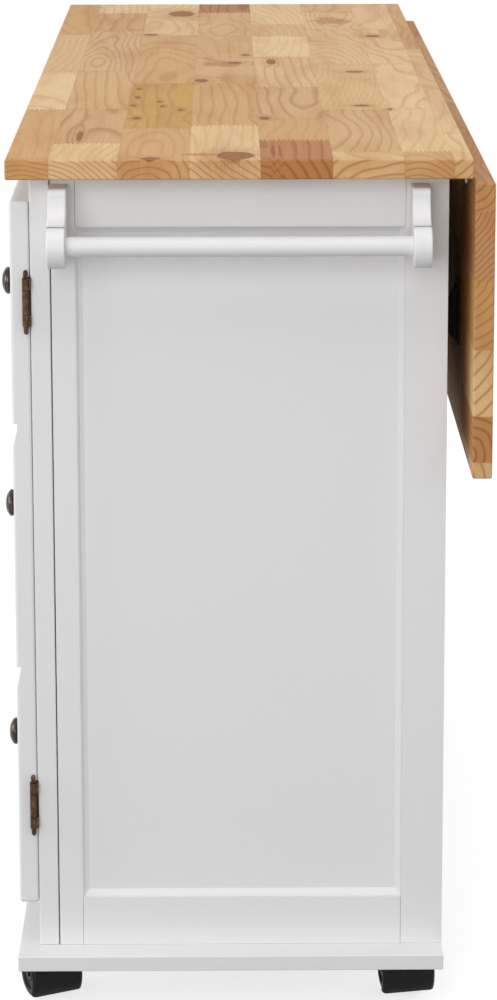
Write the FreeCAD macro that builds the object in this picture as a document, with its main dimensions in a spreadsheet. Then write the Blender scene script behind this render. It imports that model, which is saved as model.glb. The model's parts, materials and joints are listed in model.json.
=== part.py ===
import FreeCAD, Part
import math
import operator
import os

# A kitchen island on casters: a worktop of wooden blocks with a hinged drop
# leaf along its back, a painted cabinet with a door at each end and three
# drawers between them, and a towel bar on its right end.
# X runs along the worktop, -Y is the front with the knobs, +Z is up.

doc = FreeCAD.newDocument("drop_leaf_island")
sheet = doc.addObject("Spreadsheet::Sheet", "Sizes")

SIZES = {
    # worktop and drop leaf
    "worktop_length": 1346,
    "worktop_depth": 460,
    "worktop_height": 914,
    "worktop_thickness": 20,
    "worktop_ease": 3,
    "leaf_width": 300,
    "leaf_thickness": 20,
    "leaf_gap": 2,
    "end_overhang": 39,
    "front_overhang": 21,
    "back_overhang": 21,
    # base board and casters
    "caster_height": 64,
    "base_thickness": 16,
    "base_end_inset": 8,
    "board_ease": 1.5,
    # face frame and end frames
    "frame_thickness": 20,
    "face_stile_width": 40,
    "bay_stile_width": 30,
    "face_top_rail_width": 40,
    "face_bottom_rail_width": 57,
    "face_mid_rail_width": 24,
    "frame_joint": 1,
    "end_front_stile_width": 24.5,
    "end_back_stile_width": 43,
    "end_top_rail_width": 54,
    "end_bottom_rail_width": 52,
    "panel_thickness": 6,
    "panel_recess": 8,
    "panel_groove": 6,
    "moulding_width": 8,
    "moulding_lip": 0.6,
    # cabinet boards
    "partition_thickness": 16,
    "back_thickness": 9,
    "back_rail_thickness": 16,
    "back_rail_width": 60,
    "cleat_size": 20,
    "shelf_thickness": 16,
    "shelf_height": 470,
    "shelf_cleat_size": 12,
    # doors and drawer fronts
    "front_thickness": 19.5,
    "front_seat": 0.5,
    "front_ease": 3,
    "door_width": 332,
    "front_gap": 3,
    "front_bottom_reveal": 47,
    "bottom_front_height": 255.4,
    "middle_front_height": 256.1,
    "front_top_reveal": 27.5,
    "cove_depth": 4.7,
    "cove_width": 23.5,
    # knobs
    "knob_radius": 14.5,
    "knob_projection": 20,
    "knob_head_depth": 12,
    "knob_neck_radius": 6,
    "knob_foot_radius": 8.5,
    "knob_foot_depth": 2.5,
    "drawer_knob_spacing": 300,
    # drawers
    "drawer_wall": 14,
    "drawer_bottom_thickness": 6,
    "drawer_bottom_lift": 8,
    "drawer_room_behind": 43.5,
    "drawer_room_above": 14,
    "drawer_room_below": 10,
    "runner_height": 10,
    "runner_reach": 20,
    "runner_groove": 7,
    "runner_rise": 70,
    # door hinges
    "hinge_axis_out": 4,
    "hinge_axis_front": 4.2,
    "hinge_height": 50,
    "hinge_barrel_radius": 3.6,
    "hinge_pin_radius": 1.5,
    "hinge_plate_width": 25,
    "hinge_plate_thickness": 1,
    "hinge_web": 2.4,
    "hinge_knuckle_gap": 0.8,
    "finial_radius": 2.8,
    "finial_height": 8,
    "upper_hinge_drop": 102,
    "lower_hinge_rise": 108,
    "catch_width": 45,
    "catch_depth": 30,
    "catch_height": 12,
    # towel bar
    "bar_radius": 10,
    "bar_standoff": 50,
    "bar_drop": 64.5,
    "bar_socket": 7,
    "bracket_thickness": 18,
    "bracket_centre": 179.5,
    "bracket_top_gap": 10,
    "bracket_arm": 34,
    "bracket_nose_radius": 21.5,
    # leaf hinges
    "leaf_hinge_length": 60,
    "leaf_hinge_inset": 110,
    "leaf_barrel_radius": 2.5,
    "leaf_pin_radius": 1.2,
    "leaf_plate_thickness": 2,
    "leaf_plate_width": 18,
    # leaf stays
    "stay_end_inset": 203,
    "stay_drop": 100,
    "stay_raised_angle": 117,
    "stay_width": 9,
    "stay_thickness": 5,
    "stay_pin_radius": 2,
    "stay_plate_thickness": 2,
    "stay_plate_width": 26,
    "stay_plate_height": 50,
    "stay_ear_thickness": 2.5,
    "stay_back_gap": 2.5,
    "receiver_base": 2.5,
    "receiver_width": 30,
    "receiver_height": 70,
    "receiver_proud": 10.5,
    "receiver_cheek": 2.7,
    "receiver_top_slope": 24,
    "receiver_bottom_slope": 10,
    # casters
    "wheel_radius": 25,
    "wheel_width": 17,
    "wheel_ease": 4,
    "wheel_web": 11,
    "axle_radius": 3,
    "caster_trail": 18,
    "caster_end_inset": 76,
    "caster_side_inset": 33,
    "hood_radius": 30,
    "hood_wall": 3.5,
    "hood_width": 57,
    "hood_clear": 13,
    "hood_neck_radius": 11,
    "stem_radius": 5,
    "plate_size": 42,
    "plate_thickness": 3,
    "boss_radius": 14,
    "boss_height": 4,
    # clearances
    "fit_gap": 0.3,
    "pin_gap": 0.05,
    "slide_gap": 0.5,
}

# Heading of each caster's wheels, in degrees anticlockwise from +X.
CASTER_HEADINGS = {
    ("right", "front"): 205,
    ("right", "rear"): 191,
    ("left", "front"): 195,
    ("left", "rear"): 172,
}

for row, (alias, number) in enumerate(SIZES.items(), start=1):
    sheet.set(f"A{row}", str(number))
    sheet.setAlias(f"A{row}", alias)
doc.recompute()


class Length:
    """A size held both as a number and as a formula of spreadsheet cells."""

    def __init__(self, formula, value):
        self.formula = formula
        self.value = value

    def __add__(self, other):
        return combine(self, "+", other)

    def __radd__(self, other):
        return combine(other, "+", self)

    def __sub__(self, other):
        return combine(self, "-", other)

    def __rsub__(self, other):
        return combine(other, "-", self)

    def __mul__(self, other):
        return combine(self, "*", other)

    def __rmul__(self, other):
        return combine(other, "*", self)

    def __truediv__(self, other):
        return combine(self, "/", other)

    def __neg__(self):
        return combine(0, "-", self)


OPERATIONS = {
    "+": operator.add,
    "-": operator.sub,
    "*": operator.mul,
    "/": operator.truediv,
}


def as_length(size):
    """Plain numbers become lengths, and lengths stay as they are."""
    if isinstance(size, Length):
        return size
    return Length(repr(size), size)


def combine(left, sign, right):
    left = as_length(left)
    right = as_length(right)
    value = OPERATIONS[sign](left.value, right.value)
    return Length(f"({left.formula} {sign} {right.formula})", value)


def sine(angle):
    return Length(f"sin({angle.formula})", math.sin(math.radians(angle.value)))


class Dimensions:
    """Every cell of the spreadsheet, as an attribute of its own name."""


size = Dimensions()
for alias, number in SIZES.items():
    setattr(size, alias, Length(f"Sizes.{alias}", number))

# ---------------------------------------------------------------- planes
half_length = size.worktop_length / 2
half_depth = size.worktop_depth / 2
worktop_under = size.worktop_height - size.worktop_thickness
end_plane = half_length - size.end_overhang
frame_front = size.front_overhang - half_depth
frame_back = frame_front + size.frame_thickness
cabinet_back = half_depth - size.back_overhang
cabinet_bottom = size.caster_height + size.base_thickness
end_inside = end_plane - size.frame_thickness
back_inside = cabinet_back - size.back_thickness
front_back = frame_front - size.front_seat
front_face = front_back - size.front_thickness
front_bottom = cabinet_bottom + size.front_bottom_reveal
lower_split = front_bottom + size.bottom_front_height
upper_split = lower_split + size.middle_front_height
front_top = worktop_under - size.front_top_reveal
door_edge = end_plane - size.door_width
drawer_edge = door_edge - size.front_gap
bay_line = door_edge - size.front_gap / 2
bay_opening = bay_line - size.bay_stile_width / 2
cupboard_opening = bay_line + size.bay_stile_width / 2
partition_inside = bay_line - size.partition_thickness / 2
partition_outside = bay_line + size.partition_thickness / 2
top_rail_under = worktop_under - size.face_top_rail_width
bottom_rail_top = cabinet_bottom + size.face_bottom_rail_width
bracket_reach = size.bar_standoff + size.bracket_nose_radius
knob_tip = front_face - size.knob_projection
leaf_inner = half_depth + size.leaf_gap
leaf_outer = leaf_inner + size.leaf_thickness
# the whole island is centred on its origin, towel brackets, knobs and leaf included
datum_x = -(bracket_reach - size.end_overhang) / 2
datum_y = -(leaf_outer + knob_tip) / 2

RIGHT = 1
# How far a bore's cutter runs past the piece at each open end.
OVERRUN = 1
LEFT = -1
SIDES = {"right": RIGHT, "left": LEFT}

X_AXIS = FreeCAD.Vector(1, 0, 0)
Y_AXIS = FreeCAD.Vector(0, 1, 0)
Z_AXIS = FreeCAD.Vector(0, 0, 1)
ALONG = {
    "x": FreeCAD.Rotation(Y_AXIS, 90),
    "y": FreeCAD.Rotation(X_AXIS, -90),
    "z": FreeCAD.Rotation(),
}

sub_parts = []


# --------------------------------------------------------------- helpers
def bind(thing, path, length):
    """Tie one property of an object to the spreadsheet."""
    thing.setExpression(path, as_length(length).formula)


def place(thing, x, y, z):
    for axis, distance in zip("xyz", (x, y, z)):
        bind(thing, f"Placement.Base.{axis}", distance)


def mirrored(side, inner, outer):
    """The X span of a piece on the right end, or its mirror on the left."""
    if side == RIGHT:
        return inner, outer
    return -outer, -inner


def box(name, x_span, y_span, z_span):
    block = doc.addObject("Part::Box", name)
    bind(block, "Length", x_span[1] - x_span[0])
    bind(block, "Width", y_span[1] - y_span[0])
    bind(block, "Height", z_span[1] - z_span[0])
    place(block, x_span[0], y_span[0], z_span[0])
    return block


def eased_box(name, x_span, y_span, z_span, ease):
    """A board whose edges are all rounded over."""
    body = doc.addObject("PartDesign::Body", name)
    block = body.newObject("PartDesign::AdditiveBox", f"{name}_block")
    bind(block, "Length", x_span[1] - x_span[0])
    bind(block, "Width", y_span[1] - y_span[0])
    bind(block, "Height", z_span[1] - z_span[0])
    rounding = body.newObject("PartDesign::Fillet", f"{name}_rounding")
    rounding.Base = (block, ["Edge1"])
    rounding.UseAllEdges = True
    bind(rounding, "Radius", ease)
    body.Tip = rounding
    place(body, x_span[0], y_span[0], z_span[0])
    return body


def cylinder(name, axis, radius, start, length):
    """A cylinder from the point start, running along +X, +Y or +Z."""
    rod = doc.addObject("Part::Cylinder", name)
    rod.Placement.Rotation = ALONG[axis]
    bind(rod, "Radius", radius)
    bind(rod, "Height", length)
    place(rod, *start)
    return rod


def ball(name, radii, centre, axis):
    """An ellipsoid: its first radius lies along the axis."""
    head = doc.addObject("Part::Ellipsoid", name)
    head.Placement.Rotation = ALONG[axis]
    bind(head, "Radius1", radii[0])
    bind(head, "Radius2", radii[1])
    bind(head, "Radius3", radii[1])
    place(head, *centre)
    return head


def fuse(name, *pieces):
    union = doc.addObject("Part::MultiFuse", name)
    union.Shapes = list(pieces)
    return union


def common(name, first, second):
    overlap = doc.addObject("Part::MultiCommon", name)
    overlap.Shapes = [first, second]
    return overlap


def cut(name, blank, *tools):
    tool = tools[0] if len(tools) == 1 else fuse(f"{name}_tools", *tools)
    remainder = doc.addObject("Part::Cut", name)
    remainder.Base = blank
    remainder.Tool = tool
    return remainder


def sub_part(label, *pieces, x=0, y=0, heading=None):
    """One named sub-part of the island, holding one or more solids."""
    group = doc.addObject("Part::Compound", f"{label}_part")
    group.Links = list(pieces)
    group.Label = label
    if heading is not None:
        group.Placement.Rotation = FreeCAD.Rotation(Z_AXIS, heading)
    bind(group, "Placement.Base.x", x + datum_x)
    bind(group, "Placement.Base.y", y + datum_y)
    sub_parts.append(group)
    return group


def across(half):
    """A span centred on the middle of the island."""
    return -half, half


# --------------------------------------------------- worktop and base board
def worktop():
    z_span = (worktop_under, size.worktop_height)
    board = eased_box("worktop_board", across(half_length), across(half_depth), z_span, size.worktop_ease)
    sub_part("tabletop", board)


def base_board():
    x_span = across(half_length - size.base_end_inset)
    y_span = (-half_depth, cabinet_back)
    z_span = (size.caster_height, cabinet_bottom)
    sub_part("base_board", eased_box("base", x_span, y_span, z_span, size.board_ease))


# -------------------------------------------------------------- face frame
def face_frame():
    y_span = (frame_front, frame_back)
    z_span = (cabinet_bottom, worktop_under)
    stiles = []
    rails = []
    for word, side in SIDES.items():
        outer = mirrored(side, end_plane - size.face_stile_width, end_plane)
        blank = eased_box(f"{word}_face_stile_blank", outer, y_span, z_span, size.board_ease)
        mortises = [frame_hinge_mortise(side, level) for level in hinge_levels()]
        stiles.append(cut(f"{word}_face_stile", blank, *mortises))
        bay = mirrored(side, bay_opening, cupboard_opening)
        stiles.append(box(f"{word}_bay_stile", bay, y_span, z_span))
        cupboard = mirrored(side, cupboard_opening, end_plane - size.face_stile_width)
        rails.append(box(f"{word}_face_top_rail", cupboard, y_span, (top_rail_under, worktop_under)))
        rails.append(box(f"{word}_face_bottom_rail", cupboard, y_span, (cabinet_bottom, bottom_rail_top)))
    bay = across(bay_opening)
    rails.append(box("bay_top_rail", bay, y_span, (top_rail_under, worktop_under)))
    rails.append(box("bay_bottom_rail", bay, y_span, (cabinet_bottom, bottom_rail_top)))
    for word, split in (("lower", lower_split), ("upper", upper_split)):
        half_rail = size.face_mid_rail_width / 2
        rails.append(box(f"bay_{word}_rail", bay, y_span, (split - half_rail, split + half_rail)))
    sub_part("face_frame_stiles", *stiles)
    sub_part("face_frame_rails", *rails)


# -------------------------------------------------------------- end frames
panel_front = end_plane - size.panel_recess
panel_back = panel_front - size.panel_thickness
end_stile_front = frame_back + size.frame_joint
panel_y = (
    end_stile_front + size.end_front_stile_width,
    cabinet_back - size.end_back_stile_width,
)
panel_z = (
    cabinet_bottom + size.end_bottom_rail_width,
    worktop_under - size.end_top_rail_width,
)


def grown(span, by):
    return span[0] - by, span[1] + by


def groove_block(name, side):
    """The space that the panel and its grooves take out of the frame."""
    x_span = mirrored(side, *grown((panel_back, panel_front), size.fit_gap / 2))
    return box(name, x_span, grown(panel_y, size.panel_groove), grown(panel_z, size.panel_groove))


def moulding_strips(word, side):
    """Four mitred bevel strips that frame the recessed panel."""
    length_y = panel_y[1] - panel_y[0]
    length_z = panel_z[1] - panel_z[0]
    outward = X_AXIS * side
    corners = (
        ("bottom", Z_AXIS, length_y, panel_y[side != RIGHT], panel_z[0]),
        ("top", -Z_AXIS, length_y, panel_y[side == RIGHT], panel_z[1]),
        ("front", Y_AXIS, length_z, panel_y[0], panel_z[side == RIGHT]),
        ("back", -Y_AXIS, length_z, panel_y[1], panel_z[side != RIGHT]),
    )
    strips = []
    for edge, inward, length, y, z in corners:
        strip = doc.addObject("Part::Wedge", f"{word}_{edge}_moulding")
        strip.Placement.Rotation = FreeCAD.Rotation(inward.cross(outward), inward, outward, "ZXY")
        bind(strip, "Xmin", 0)
        bind(strip, "Xmax", length)
        bind(strip, "X2min", size.moulding_width)
        bind(strip, "X2max", length - size.moulding_width)
        bind(strip, "Ymin", 0)
        bind(strip, "Ymax", size.moulding_width)
        bind(strip, "Zmin", 0)
        bind(strip, "Zmax", size.panel_recess - size.moulding_lip)
        bind(strip, "Z2min", 0)
        bind(strip, "Z2max", size.moulding_lip)
        place(strip, panel_front * side, y, z)
        strips.append(strip)
    return strips


def end_frame(word, side):
    x_span = mirrored(side, end_inside, end_plane)
    z_span = (cabinet_bottom, worktop_under)
    stile_y = {
        "front": (end_stile_front, panel_y[0]),
        "back": (panel_y[1], cabinet_back),
    }
    stiles = []
    for place_word, y_span in stile_y.items():
        name = f"{word}_end_{place_word}_stile"
        blank = box(f"{name}_blank", x_span, y_span, z_span)
        stiles.append(cut(name, blank, groove_block(f"{name}_groove", side)))
    rail_z = {
        "bottom": (cabinet_bottom, panel_z[0]),
        "top": (panel_z[1], worktop_under),
    }
    rails = []
    for place_word, z_rail in rail_z.items():
        name = f"{word}_end_{place_word}_rail"
        blank = box(f"{name}_blank", x_span, panel_y, z_rail)
        rails.append(cut(name, blank, groove_block(f"{name}_groove", side)))
    tongue = size.panel_groove - size.fit_gap
    panel_x = mirrored(side, panel_back, panel_front)
    panel = box(f"{word}_panel", panel_x, grown(panel_y, tongue), grown(panel_z, tongue))
    sub_part(f"{word}_end_stiles", *stiles)
    sub_part(f"{word}_end_rails", *rails)
    sub_part(f"{word}_end_panel", panel)
    sub_part(f"{word}_panel_moulding", *moulding_strips(word, side))


# ---------------------------------------------------------- cabinet boards
stay_pivot_z = worktop_under - size.leaf_gap - size.stay_drop


def cabinet_boards():
    z_span = (cabinet_bottom, worktop_under)
    partitions = []
    for word, side in SIDES.items():
        x_span = mirrored(side, partition_inside, partition_outside)
        partitions.append(box(f"{word}_partition", x_span, (frame_back, back_inside), z_span))
    sub_part("partitions", *partitions)

    back = box("back_sheet", across(end_inside), (back_inside, cabinet_back), z_span)
    sub_part("back_panel", back)

    bays = {
        "middle": across(partition_inside),
        "right": mirrored(RIGHT, partition_outside, end_inside),
        "left": mirrored(LEFT, partition_outside, end_inside),
    }
    rail_y = (back_inside - size.back_rail_thickness, back_inside)
    rail_z = (stay_pivot_z - size.back_rail_width / 2, stay_pivot_z + size.back_rail_width / 2)
    cleat_y = (back_inside - size.cleat_size, back_inside)
    cleat_z = (worktop_under - size.cleat_size, worktop_under)
    rails = [box(f"{word}_back_rail", x_span, rail_y, rail_z) for word, x_span in bays.items()]
    cleats = [box(f"{word}_top_cleat", x_span, cleat_y, cleat_z) for word, x_span in bays.items()]
    sub_part("back_rails", *rails)
    sub_part("top_cleats", *cleats)


def shelves():
    boards = []
    cleats = []
    cleat_top = size.shelf_height
    for word, side in SIDES.items():
        x_span = mirrored(side, partition_outside + size.slide_gap, end_inside - size.slide_gap)
        y_span = (frame_back + size.slide_gap, back_inside - size.slide_gap)
        z_span = (cleat_top, cleat_top + size.shelf_thickness)
        boards.append(box(f"{word}_shelf", x_span, y_span, z_span))
        walls = {
            "inner": (partition_outside, partition_outside + size.shelf_cleat_size),
            "outer": (end_inside - size.shelf_cleat_size, end_inside),
        }
        for wall, span in walls.items():
            cleat_x = mirrored(side, *span)
            cleat_y = (end_stile_front, back_inside - size.slide_gap)
            cleat_z = (cleat_top - size.shelf_cleat_size, cleat_top)
            cleats.append(box(f"{word}_{wall}_shelf_cleat", cleat_x, cleat_y, cleat_z))
    sub_part("shelves", *boards)
    sub_part("shelf_cleats", *cleats)


# ------------------------------------------------------------------- knobs
def knob(name, x, z):
    """A round knob on a turned neck and foot, on a front at the point x, z."""
    head_radius = size.knob_head_depth / 2
    foot = cylinder(f"{name}_foot", "y", size.knob_foot_radius, (x, front_face - size.knob_foot_depth, z),
                    size.knob_foot_depth)
    neck_length = size.knob_projection - head_radius
    neck = cylinder(f"{name}_neck", "y", size.knob_neck_radius, (x, knob_tip + head_radius, z), neck_length)
    head = ball(f"{name}_head", (head_radius, size.knob_radius), (x, knob_tip + head_radius, z), "y")
    return fuse(name, foot, neck, head)


front_levels = {
    "bottom": (front_bottom, lower_split),
    "middle": (lower_split, upper_split),
    "top": (upper_split, front_top),
}


def level_middle(level):
    low, high = front_levels[level]
    return (low + high) / 2


# ------------------------------------------------------------------- doors
def cove(name, x_span, split):
    """A scoop below a sharp lip at the split, running out to the face."""
    squares = size.cove_width * size.cove_width + size.cove_depth * size.cove_depth
    cove_radius = squares / (2 * size.cove_depth)
    axis_y = front_face + size.cove_depth - cove_radius
    scoop = cylinder(f"{name}_scoop", "x", cove_radius, (x_span[0], axis_y, split), x_span[1] - x_span[0])
    below = box(f"{name}_reach", x_span, (front_face - size.cove_depth, front_back),
                (split - size.cove_width * 2, split))
    return common(name, scoop, below)


def hinge_levels():
    """The lowest point of each door hinge."""
    half = size.hinge_height / 2
    return (
        front_bottom + size.lower_hinge_rise - half,
        front_top - size.upper_hinge_drop - half,
    )


def plate_span(side):
    return mirrored(side, end_plane - size.hinge_plate_width, end_plane)


def mortise(name, side, level, y_span):
    """A recess for a hinge plate, open at the end of the board."""
    inner_x = end_plane - size.hinge_plate_width - size.fit_gap
    x_span = mirrored(side, inner_x, end_plane + size.hinge_axis_out)
    z_span = (level - size.fit_gap, level + size.hinge_height + size.fit_gap)
    return box(name, x_span, y_span, z_span)


def frame_hinge_mortise(side, level):
    depth = size.hinge_plate_thickness + size.pin_gap
    return mortise("frame_mortise", side, level, (frame_front - size.fit_gap, frame_front + depth))


def door_hinge_mortise(side, level):
    depth = size.hinge_plate_thickness + size.pin_gap
    return mortise("door_mortise", side, level, (front_back - depth, front_back + size.fit_gap))


def door(word, side):
    x_span = mirrored(side, door_edge, end_plane)
    slab = eased_box(f"{word}_door_slab", x_span, (front_face, front_back),
                     (front_bottom, front_top), size.front_ease)
    long_span = grown(x_span, size.cove_depth)
    coves = [
        cove(f"{word}_door_lower_cove", long_span, lower_split),
        cove(f"{word}_door_upper_cove", long_span, upper_split),
    ]
    mortises = [door_hinge_mortise(side, level) for level in hinge_levels()]
    sub_part(f"{word}_door", cut(f"{word}_door_leaf", slab, *coves, *mortises))
    middle = (end_plane - size.door_width / 2) * side
    knobs = [knob(f"{word}_door_{level}_knob", middle, level_middle(level)) for level in front_levels]
    sub_part(f"{word}_door_knobs", *knobs)


# ------------------------------------------------------------- door hinges
hinge_axis_x = end_plane + size.hinge_axis_out
hinge_axis_y = frame_front - size.hinge_axis_front
# how far up the hinge its three knuckles meet
KNUCKLE_ENDS = (0, 0.25, 0.75, 1)


def hinge_half(name, side, level, plate_y, knuckles):
    """One hinge plate with its share of the knuckles, bored for the pin."""
    pieces = [box(f"{name}_plate", plate_span(side), plate_y, (level, level + size.hinge_height))]
    for index in knuckles:
        low = level + size.hinge_height * KNUCKLE_ENDS[index] + size.hinge_knuckle_gap / 2
        high = level + size.hinge_height * KNUCKLE_ENDS[index + 1] - size.hinge_knuckle_gap / 2
        start = (hinge_axis_x * side, hinge_axis_y, low)
        pieces.append(cylinder(f"{name}_knuckle", "z", size.hinge_barrel_radius, start, high - low))
        tongue = mirrored(side, end_plane - size.hinge_web, hinge_axis_x + size.hinge_web / 2)
        pieces.append(box(f"{name}_tongue", tongue, plate_y, (low, high)))
        web = mirrored(side, hinge_axis_x - size.hinge_web / 2, hinge_axis_x + size.hinge_web / 2)
        pieces.append(box(f"{name}_web", web, (hinge_axis_y, plate_y[1]), (low, high)))
    bore = cylinder(f"{name}_bore", "z", size.hinge_pin_radius + size.pin_gap,
                    (hinge_axis_x * side, hinge_axis_y, level - OVERRUN), size.hinge_height + 2 * OVERRUN)
    return cut(name, fuse(f"{name}_metal", *pieces), bore)


def hinge_pin(name, side, level):
    """The hinge pin, with a round-ended cap at each end."""
    x = hinge_axis_x * side
    radius = size.finial_radius
    neck = size.finial_height - radius
    top = level + size.hinge_height
    foot = (x, hinge_axis_y, level)
    pieces = [cylinder(f"{name}_shank", "z", size.hinge_pin_radius, foot, size.hinge_height)]
    for end, cap_low, centre in (("low", level - neck, level - neck), ("high", top, top + neck)):
        pieces.append(cylinder(f"{name}_{end}_cap", "z", radius, (x, hinge_axis_y, cap_low), neck))
        pieces.append(ball(f"{name}_{end}_end", (radius, radius), (x, hinge_axis_y, centre), "z"))
    return fuse(name, *pieces)


def door_hinges():
    frame_halves = []
    pins = []
    frame_plate = (frame_front, frame_front + size.hinge_plate_thickness)
    door_plate = (front_back - size.hinge_plate_thickness, front_back)
    for word, side in SIDES.items():
        door_halves = []
        for end, level in zip(("lower", "upper"), hinge_levels()):
            name = f"{word}_{end}_hinge"
            frame_halves.append(hinge_half(f"{name}_frame_half", side, level, frame_plate, (0, 2)))
            door_halves.append(hinge_half(f"{name}_door_half", side, level, door_plate, (1,)))
            pins.append(hinge_pin(f"{name}_pin", side, level))
        sub_part(f"{word}_door_hinge_leaves", *door_halves)
    sub_part("door_hinge_frame_leaves", *frame_halves)
    sub_part("door_hinge_pins", *pins)


def door_catches():
    """Magnetic catches under the top rail, at the free edge of each door."""
    catches = []
    for word, side in SIDES.items():
        x_span = mirrored(side, cupboard_opening, cupboard_opening + size.catch_width)
        y_span = (frame_front, frame_front + size.catch_depth)
        z_span = (top_rail_under - size.catch_height, top_rail_under)
        catches.append(box(f"{word}_catch", x_span, y_span, z_span))
    sub_part("door_catches", *catches)


# ----------------------------------------------------------------- drawers
def drawer(level):
    low, high = front_levels[level]
    top_edge = high if level == "top" else high - size.front_gap
    x_span = across(drawer_edge)
    y_span = (front_face, front_back)
    panel = eased_box(f"{level}_drawer_panel", x_span, y_span, (low, top_edge), size.front_ease)
    if level != "top":
        scoop = cove(f"{level}_drawer_cove", grown(x_span, size.cove_depth), high)
        panel = cut(f"{level}_drawer_face", panel, scoop)
    sub_part(f"{level}_drawer_front", panel)

    room = {
        "bottom": (bottom_rail_top, lower_split - size.face_mid_rail_width / 2),
        "middle": (lower_split + size.face_mid_rail_width / 2,
                   upper_split - size.face_mid_rail_width / 2),
        "top": (upper_split + size.face_mid_rail_width / 2, top_rail_under),
    }[level]
    box_z = (room[0] + size.drawer_room_below, room[1] - size.drawer_room_above)
    box_y = (front_back, back_inside - size.back_rail_thickness - size.drawer_room_behind)
    outer = partition_inside - size.runner_reach + size.runner_groove - size.slide_gap
    inner = outer - size.drawer_wall
    groove_low = box_z[0] + size.runner_rise
    groove_z = grown((groove_low, groove_low + size.runner_height), size.fit_gap)
    groove_start = frame_back - size.fit_gap
    walls = []
    for word, side in SIDES.items():
        side_x = mirrored(side, inner, outer)
        blank = box(f"{level}_drawer_{word}_blank", side_x, box_y, box_z)
        groove_x = mirrored(side, outer - size.runner_groove, outer + size.slide_gap)
        groove_y = (groove_start, box_y[1] + size.slide_gap)
        groove = box(f"{level}_drawer_{word}_groove", groove_x, groove_y, groove_z)
        walls.append(cut(f"{level}_drawer_{word}_side", blank, groove))
    between = across(inner)
    walls.append(box(f"{level}_drawer_lining", between, (box_y[0], box_y[0] + size.drawer_wall), box_z))
    walls.append(box(f"{level}_drawer_back", between, (box_y[1] - size.drawer_wall, box_y[1]), box_z))
    floor_low = box_z[0] + size.drawer_bottom_lift
    floor_z = (floor_low, floor_low + size.drawer_bottom_thickness)
    floor_y = (box_y[0] + size.drawer_wall, box_y[1] - size.drawer_wall)
    walls.append(box(f"{level}_drawer_floor", between, floor_y, floor_z))
    sub_part(f"{level}_drawer_box", *walls)

    offset = size.drawer_knob_spacing / 2
    knobs = []
    for word, side in SIDES.items():
        knobs.append(knob(f"{level}_drawer_{word}_knob", offset * side, level_middle(level)))
    sub_part(f"{level}_drawer_knobs", *knobs)

    runners = []
    runner_z = (groove_z[0] + size.fit_gap, groove_z[1] - size.fit_gap)
    for word, side in SIDES.items():
        runner_x = mirrored(side, partition_inside - size.runner_reach, partition_inside)
        runners.append(box(f"{level}_{word}_runner", runner_x, (frame_back, box_y[1]), runner_z))
    return runners


# --------------------------------------------------------------- towel bar
bar_x = end_plane + size.bar_standoff
bar_z = worktop_under - size.bar_drop
bracket_inner = size.bracket_centre - size.bracket_thickness / 2
bracket_outer = size.bracket_centre + size.bracket_thickness / 2


def towel_bracket(name, y_span, socket_y):
    """A bracket with a flat arm that sweeps out into a round nose."""
    radius = size.bracket_nose_radius
    width = y_span[1] - y_span[0]
    top = worktop_under - size.bracket_top_gap
    arm_x = end_plane + size.bracket_arm
    cove_radius = size.bar_standoff - size.bracket_arm
    arm = box(f"{name}_arm", (end_plane, arm_x), y_span, (bar_z - radius, top))
    root = box(f"{name}_root", (end_plane, bar_x), y_span, (bar_z - radius, bar_z + radius))
    nose = cylinder(f"{name}_nose", "y", radius, (bar_x, y_span[0], bar_z), width)
    sweep_low = bar_z + radius
    sweep_top = sweep_low + cove_radius
    sweep_block = box(f"{name}_sweep_block", (arm_x, bar_x), y_span, (sweep_low, sweep_top))
    hollow = cylinder(f"{name}_hollow", "y", cove_radius, (bar_x, y_span[0], sweep_top), width)
    sweep = cut(f"{name}_sweep", sweep_block, hollow)
    socket = cylinder(f"{name}_socket", "y", size.bar_radius + size.pin_gap,
                      (bar_x, socket_y, bar_z), size.bar_socket)
    return cut(name, fuse(f"{name}_blank", arm, root, nose, sweep), socket)


def towel_rack():
    front_y = (-bracket_outer, -bracket_inner)
    back_y = (bracket_inner, bracket_outer)
    sub_part("front_towel_bracket", towel_bracket("front_bracket", front_y, -bracket_inner - size.bar_socket))
    sub_part("rear_towel_bracket", towel_bracket("rear_bracket", back_y, bracket_inner))
    half_bar = bracket_inner + size.bar_socket - size.fit_gap
    bar = cylinder("bar", "y", size.bar_radius, (bar_x, -half_bar, bar_z), half_bar * 2)
    sub_part("towel_bar", bar)


# --------------------------------------------------------------- drop leaf
leaf_axis_y = half_depth
leaf_axis_z = worktop_under - size.leaf_gap
leaf_top = leaf_axis_z - size.leaf_gap


def drop_leaf():
    board = eased_box("leaf_board", across(half_length), (leaf_inner, leaf_outer),
                      (leaf_top - size.leaf_width, leaf_top), size.worktop_ease)
    sub_part("drop_leaf", board)


LEAF_KNUCKLES = 5


def leaf_knuckles(name, x_start, indexes):
    pitch = size.leaf_hinge_length / LEAF_KNUCKLES
    knuckles = []
    for index in indexes:
        start = x_start + pitch * index + size.fit_gap / 2
        knuckles.append(cylinder(f"{name}_knuckle", "x", size.leaf_barrel_radius,
                                 (start, leaf_axis_y, leaf_axis_z), pitch - size.fit_gap))
    return knuckles


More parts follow.
